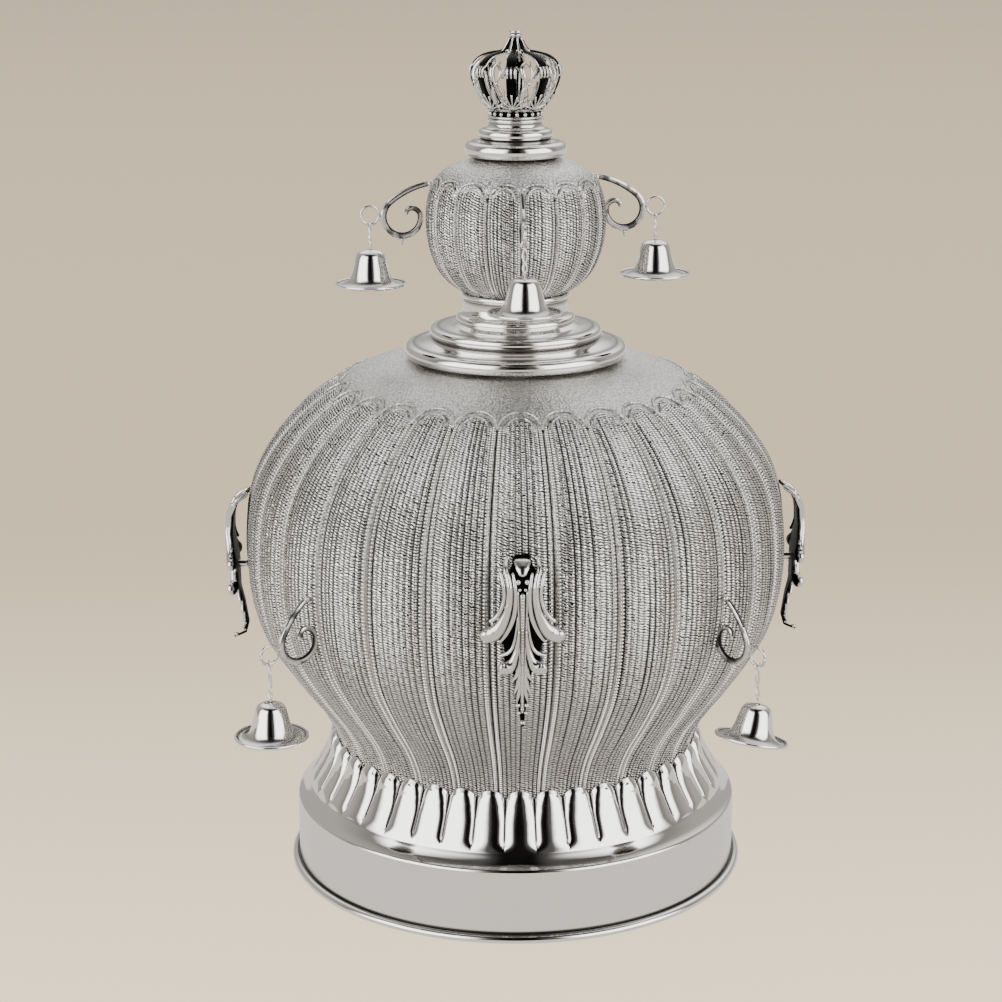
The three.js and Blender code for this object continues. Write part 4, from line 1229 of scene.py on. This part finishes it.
# Points are (across, down) in mm; widths are (share, half width in mm); lift is how far it stands out.
LEAF_RIBS = [
    {"points": [(8.1, 4.4), (7.4, 6.5), (6.5, 11.6), (6.9, 15.7), (8.4, 19.4), (10.2, 21.7), (12.0, 23.0)],
     "widths": [(0, 0.5), (0.15, 0.75), (0.8, 0.85), (1, 0.7)], "lift": 0.1},
    {"points": [(5.9, 4.2), (4.9, 8.2), (4.6, 12.6), (5.2, 17.4), (6.8, 22.0), (9.2, 26.0), (12.3, 27.9),
                (15.0, 26.6)],
     "widths": [(0, 1.0), (0.2, 1.1), (0.45, 1.35), (0.62, 2.1), (0.78, 3.0), (0.92, 2.5), (1, 1.4)],
     "lift": 0.9},
    {"points": [(3.6, 4.6), (2.8, 9.2), (2.5, 14.0), (3.0, 19.4), (4.2, 23.7), (6.0, 27.5), (8.3, 31.0)],
     "widths": [(0, 0.6), (0.2, 0.85), (0.6, 1.0), (0.85, 0.9), (1, 0.5)], "lift": 0.2},
    {"points": [(1.6, 20.0), (2.3, 26.4), (2.9, 30.4), (3.9, 33.3), (5.8, 35.1), (8.9, 36.0)],
     "widths": [(0, 0.4), (0.4, 0.7), (0.8, 0.8), (1, 0.6)], "lift": 0.2},
    {"points": [(1.3, 25.4), (1.7, 30.8), (2.5, 34.9), (3.9, 38.4), (6.1, 40.0), (8.7, 39.3)],
     "widths": [(0, 0.4), (0.3, 0.9), (0.55, 1.6), (0.72, 2.7), (0.92, 2.5), (1, 1.4)], "lift": 1.2},
    {"points": [(1.0, 34.0), (1.2, 39.3), (1.9, 43.2), (3.9, 46.4)],
     "widths": [(0, 0.3), (0.5, 1.0), (1, 0.35)], "lift": 0.0},
    {"points": [(0.9, 39.3), (1.1, 44.7), (1.7, 47.9), (3.0, 51.2)],
     "widths": [(0, 0.3), (0.5, 1.0), (1, 0.35)], "lift": -0.1},
    {"points": [(0.8, 45.0), (1.0, 49.0), (1.4, 52.0), (2.0, 54.4)],
     "widths": [(0, 0.3), (0.5, 0.8), (1, 0.35)], "lift": -0.1},
    {"points": [(1.6, 10.5), (1.5, 18.0), (1.35, 26.0), (1.1, 35.0), (0.6, 44.0)],
     "widths": [(0, 0.3), (0.5, 0.45), (1, 0.25)], "lift": 0.3},
]
# The web's half width in mm at each distance down from the top of the leaf.
LEAF_WEB = [
    (0, 2.6), (1.5, 3.0), (4, 4.6), (8, 5.6), (12, 5.6), (17, 6.2), (22, 8.6), (26, 10.6), (29, 9.4),
    (32, 6.8), (36, 6.4), (39, 6.6), (42, 3.6), (46, 3.0), (50, 2.4), (54, 1.9), (58, 1.3), (62, 0.6),
]
# Beads as (across, down, radius) in mm; those off the middle are doubled on the other side.
LEAF_BEADS = [
    (8.2, 4.0, 0.95), (1.6, 8.0, 1.05), (1.0, 10.6, 0.65), (1.6, 55.8, 0.9), (1.3, 58.5, 0.75),
    (0.0, 57.2, 0.7), (0.0, 61.1, 0.95),
]
POST_RADIUS = 1.5
# The flat section of the web, and the top's curl as (across, down, out) in mm.
WEB_SECTION = [(1.0, 0.0), (0.8, 1.0), (0.4, 1.0), (0.0, 1.0), (-0.4, 1.0), (-0.8, 1.0), (-1.0, 0.0),
               (-0.8, -1.0), (-0.4, -1.0), (0.0, -1.0), (0.4, -1.0), (0.8, -1.0)]
LEAF_CURL = [(5.9, 5.6, 0.6), (6.0, 3.4, 0.2), (5.6, 1.6, -0.6), (4.9, 0.6, -0.4)]


class LeafFrame:
    """A leaf's own frame: across and down from its top, and out from the dome's wall."""

    def __init__(self, azimuth, lift):
        self.turn = Matrix.Rotation(math.radians(azimuth), 3, "Z")
        self.top = LEAF_TAIL + LEAF_RISE + lift
        self.wall = along_table(dome_radii, self.top - LEAF_POST_SHARE * LEAF_RISE)

    def point(self, across, down, out=0.0):
        share = 1 - down / LEAF_RISE
        behind = 36 * (across / LEAF_RISE) ** 2
        away = self.wall + along_table(LEAF_AWAY, share) - behind + out
        return self.turn @ (Vector((across, -away, self.top - down)) * MM)

    def stations(self, points, half_width, half_height, out):
        line = [self.point(*spot) for spot in points]
        facing = self.turn @ Vector((0, -1, 0))
        stations = []
        for index, centre in enumerate(line):
            hop = heading_at(line, index)
            across = hop.cross(facing).normalized()
            up = across.cross(hop).normalized()
            t = index / (len(line) - 1)
            lifted = centre + facing * out(t) * MM
            stations.append((lifted, across, up, half_width(t) * MM, half_height(t) * MM))
        return stations


def rounded_end(t, first=0.04, last=0.05):
    """Rounds a rib off at both ends."""
    start = math.sqrt(max(0.0, 1 - (1 - min(1.0, t / first)) ** 2))
    end = math.sqrt(max(0.0, 1 - (1 - min(1.0, (1 - t) / last)) ** 2))
    return start * end


def leaf_piece(name, azimuth, lift, replaces):
    leaf = LeafFrame(azimuth, lift)
    bm = new_bmesh()
    section = round_section(12)
    for rib in LEAF_RIBS:
        for side in (-1, 1):
            line = curve_through([(side * x, z, 0) for x, z in rib["points"]], 7)
            spots = [(p.x, p.y) for p in line]

            def half_width(t, rib=rib):
                return along_table(rib["widths"], t) * rounded_end(t)

            def half_height(t, rib=rib):
                return (0.45 + 0.62 * along_table(rib["widths"], t)) * rounded_end(t)

            def out(t, rib=rib):
                return rib["lift"] + 0.9 * smoothstep(t, 0.55, 1.0) * (1 if rib["lift"] > 0.4 else 0.3)

            # The back of each rib, towards the dome, is painted dark as shade.
            rolled_tube(bm, leaf.stations(spots, half_width, half_height, out), section, hollow_below=-0.4)
    # The midrib is a plain rib with a row of beads down its front; all but its front is painted dark
    # as shade.
    rib_line = [(0.0, 11.5 + 1.2 * step) for step in range(41)]
    midrib = leaf.stations(rib_line, lambda t: (1.1 - 0.5 * t) * rounded_end(t),
                           lambda t: 0.9 * rounded_end(t), lambda t: -0.1)
    rolled_tube(bm, midrib, section, hollow_below=0.3)
    down = 13.0
    while down < 40:
        ball(bm, leaf.point(0, down, 1.25), 0.78 - 0.009 * down, 1)
        down += 1.15
    for x, z, size in LEAF_BEADS:
        for side in (-1, 1) if x else (1,):
            ball(bm, leaf.point(side * x, z, 0.6), size)
    # A smooth shallow bowl closes the top between the two scrolls.
    bowl = [(0.0, 0.6 + 0.6 * step) for step in range(11)]
    rolled_tube(bm, leaf.stations(bowl, lambda t: (3.5 - 2.3 * t) * rounded_end(t, 0.2, 0.2),
                                  lambda t: 0.7 * rounded_end(t, 0.2, 0.2), lambda t: 0.1), section)
    # The black web behind the ribs is a thin sheet with the leaf's outline, painted shade in the gaps
    # between them.
    web_line = [(0.0, LEAF_RISE * step / 60) for step in range(61)]
    web = leaf.stations(web_line, lambda t: along_table(LEAF_WEB, t * LEAF_RISE),
                        lambda t: 0.35, lambda t: -0.9)
    rolled_tube(bm, web, WEB_SECTION, hollows=[1.0] * len(WEB_SECTION))
    # A post holds the leaf off the dome.
    middle = LEAF_POST_SHARE * LEAF_RISE
    wire(bm, [leaf.point(0, middle, -0.6 * step) for step in range(9)], POST_RADIUS, 10)
    # Its top curls back towards the dome on each side.
    for side in (-1, 1):
        curl = curve_through([leaf.point(side * x, down, out) for x, down, out in LEAF_CURL], 5)
        wire(bm, curl, lambda t: 1.15 - 0.5 * t, 8)
    finish_piece(bm, name, "cast_silver", replaces, sharp=70)


LEAVES = [("front", 0, 2), ("right", 90, 0.6), ("back", 180, 0), ("left", 270, -1.2)]
for side, azimuth, lift in LEAVES:
    leaf_piece(f"leaf_cast_{side}", azimuth, lift, [f"leaf_{side}"])

# %% [markdown]
# The little crown on top is one casting: a beaded ring, eight arches of three ridges with a fan
# shell at the foot of each, leafy stems between them, and a spire with petals that ends in a spool.
# The black bands under the arches' ridges are painted shade for the gaps of its openwork, and the
# ring and spire are dark in their recesses. Pierced sheet could stand for its openwork, but bent wires
# and tubes are round on all sides, as a casting is, and one eighth of them is drawn in a loop.

# %% Small cast crown
RING_BOTTOM = 303.6
RING_TOP = 307.2
FINIAL_TURN = -7
ARCH_SIDE = [(10.3, 307.3), (12.6, 310.3), (14.9, 313.8), (16.6, 317.9), (17.0, 321.4), (15.9, 324.6),
             (13.0, 327.1), (9.0, 328.3), (5.6, 328.9), (3.6, 330.9), (2.6, 333.4)]
ARCH_BAND = [
    (1.0, 0.0), (0.8, 1.0), (0.3, 1.0), (-0.3, 1.0), (-0.8, 1.0), (-1.0, 0.0), (-0.7, -1.0), (0.7, -1.0),
]
ARCH_RIBS = (-0.76, 0.0, 0.76)
RING_PROFILE = [
    (8.7, RING_BOTTOM), (10.6, RING_BOTTOM), (10.8, 304.0), (10.5, 304.4), (9.7, 304.6), (9.7, 306.2),
    (10.5, 306.4), (10.95, 306.8), (10.7, RING_TOP), (9.0, RING_TOP), (8.7, 306.6), (8.7, RING_BOTTOM),
]
SPIRE_PROFILE = [
    (0.0, 327.4), (5.2, 328.2), (4.2, 329.6), (3.3, 331.2), (2.6, 332.8), (2.1, 333.9), (2.0, 334.2),
    (2.45, 334.35), (2.5, 334.8), (2.45, 335.15), (1.6, 335.3), (1.6, 335.5), (2.45, 335.6),
    (2.5, 336.0), (2.35, 336.4), (1.4, 336.5), (0.0, 336.5),
]
# Between two arches stand a leaf bud, a curved stem under a ball, a petal, two thin festoons and a
# small leaf. Each is a line of (beside, height, radius) in mm, with the wire's radius.
STEMS = [
    ([(-1.0, 307.4, 10.8), (-1.7, 311.0, 13.3), (-1.6, 314.0, 15.0), (-1.3, 316.2, 15.9)], 1.0),
    ([(0.6, 307.4, 10.8), (1.6, 310.6, 13.1), (2.9, 314.0, 15.0), (2.4, 316.6, 16.0),
      (0.9, 317.4, 16.2)], 0.42),
    ([(-0.2, 318.0, 16.2), (-1.6, 320.4, 16.1), (-1.9, 323.2, 15.2), (-0.4, 325.4, 13.8)], 1.25),
    ([(0.2, 318.0, 16.3), (-1.6, 320.6, 16.2), (-4.0, 323.6, 15.2), (-5.2, 326.4, 12.9)], 0.3),
    ([(0.2, 318.0, 16.3), (1.8, 320.6, 16.2), (3.8, 323.6, 15.2), (4.6, 326.4, 12.9)], 0.3),
    ([(1.0, 318.4, 16.3), (1.9, 321.0, 16.1), (1.5, 324.0, 15.0)], 0.55),
]
# A petal of the spire and the festoon at its foot, as (degrees beside, radius, height).
SPIRE_PETAL = [(0, 5.4, 328.2), (0, 4.1, 330.2), (0, 3.0, 332.2), (0, 2.3, 333.9)]
SPIRE_FESTOON = [(-20, 6.0, 328.5), (-8, 4.9, 329.3), (8, 4.9, 329.3), (20, 6.0, 328.5)]


def finial_point(azimuth, radius, height):
    return polar(radius, FINIAL_TURN + azimuth, height)


def standing_stations(azimuth, side_line, half_width, half_height):
    """Stations along a line of (radius, height) points that stands at one azimuth."""
    line = [finial_point(azimuth, p.x, p.y) for p in side_line]
    last = len(line) - 1
    sideways = (finial_point(azimuth + 90, 1, 0)).normalized()
    stations = []
    for index, centre in enumerate(line):
        hop = heading_at(line, index)
        outward = hop.cross(sideways).normalized()
        if outward.dot(centre) < 0 and index < last / 2:
            outward = -outward
        t = index / last
        stations.append((centre, sideways, outward, half_width(t) * MM, half_height(t) * MM))
    return stations


finial = new_bmesh()
hollow_layer = finial.verts.layers.float["hollow"]
for vert in spun(finial, RING_PROFILE, 80):
    if vert[finial.verts.layers.int["row"]] in (4, 5, 9, 10):
        vert[hollow_layer] = 1.0
bmesh.ops.remove_doubles(finial, verts=finial.verts, dist=1e-6)
for bead in range(20):
    ball(finial, finial_point(bead * 18 + 9, 10.1, 305.4), 0.82, 2)

arch_line = shared_out(curve_through([(r, z, 0) for r, z in ARCH_SIDE], 6), 40)


def arch_width(t):
    return (1.95 - 1.25 * smoothstep(t, 0.55, 0.95)) * rounded_end(t, 0.02, 0.03)


for number in range(8):
    azimuth = number * 45
    # An arch is a black band, painted shade for the gaps between its ridges, with three rounded bright
    # ribs along it.
    stations = standing_stations(azimuth, arch_line, arch_width,
                                 lambda t: 0.4 * rounded_end(t, 0.02, 0.03))
    rolled_tube(finial, stations, ARCH_BAND, hollows=[1.0] * len(ARCH_BAND))
    for offset in ARCH_RIBS:
        rib_line = [centre + across * (offset * wide) + up * (1.1 * tall)
                    for centre, across, up, wide, tall in stations[1:-1]]
        wire(finial, rib_line, lambda t: 0.46 - 0.2 * smoothstep(t, 0.55, 0.95), 6)
    # A fan shell of seven ribs stands in front of the arch's foot.
    for rib in range(7):
        lean = math.radians((rib - 3) * 24)
        reach = 5.6 - 0.35 * abs(rib - 3)
        shell = []
        for step in range(7):
            t = step / 6
            x = reach * t * math.sin(lean)
            z = 307.5 + reach * t * math.cos(lean)
            out = 11.1 + (z - 307.5) * 0.72
            shell.append(finial_point(azimuth + math.degrees(x / out), out + 0.35, z))
        wire(finial, shell, lambda t: 0.28 + 0.16 * t, 6)
        ball(finial, shell[-1], 0.5, 1)
    # The leafwork between this arch and the next.
    between = azimuth + 22.5
    for points, size in STEMS:
        line = [finial_point(between + math.degrees(x / r), r, z) for x, z, r in points]

        def bulging(t, size=size):
            return size * (0.35 + 0.65 * math.sin(math.pi * t))

        wire(finial, curve_through(line, 5), bulging)
    ball(finial, finial_point(between + 1.5, 16.5, 317.6), 0.85)
    for points, radius, sides in ((SPIRE_PETAL, lambda t: 0.8 - 0.45 * t, 6), (SPIRE_FESTOON, 0.3, 5)):
        line = [finial_point(between + beside, r, z) for beside, r, z in points]
        wire(finial, curve_through(line, 4), radius, sides)
for vert in spun(finial, SPIRE_PROFILE, 40):
    if vert[finial.verts.layers.int["row"]] in (1, 2, 3, 4, 5, 10, 11):
        vert[hollow_layer] = 0.9
bmesh.ops.remove_doubles(finial, verts=finial.verts, dist=1e-7)
finish_piece(finial, "finial_cast", "cast_silver", ["finial_crown"], sharp=70)
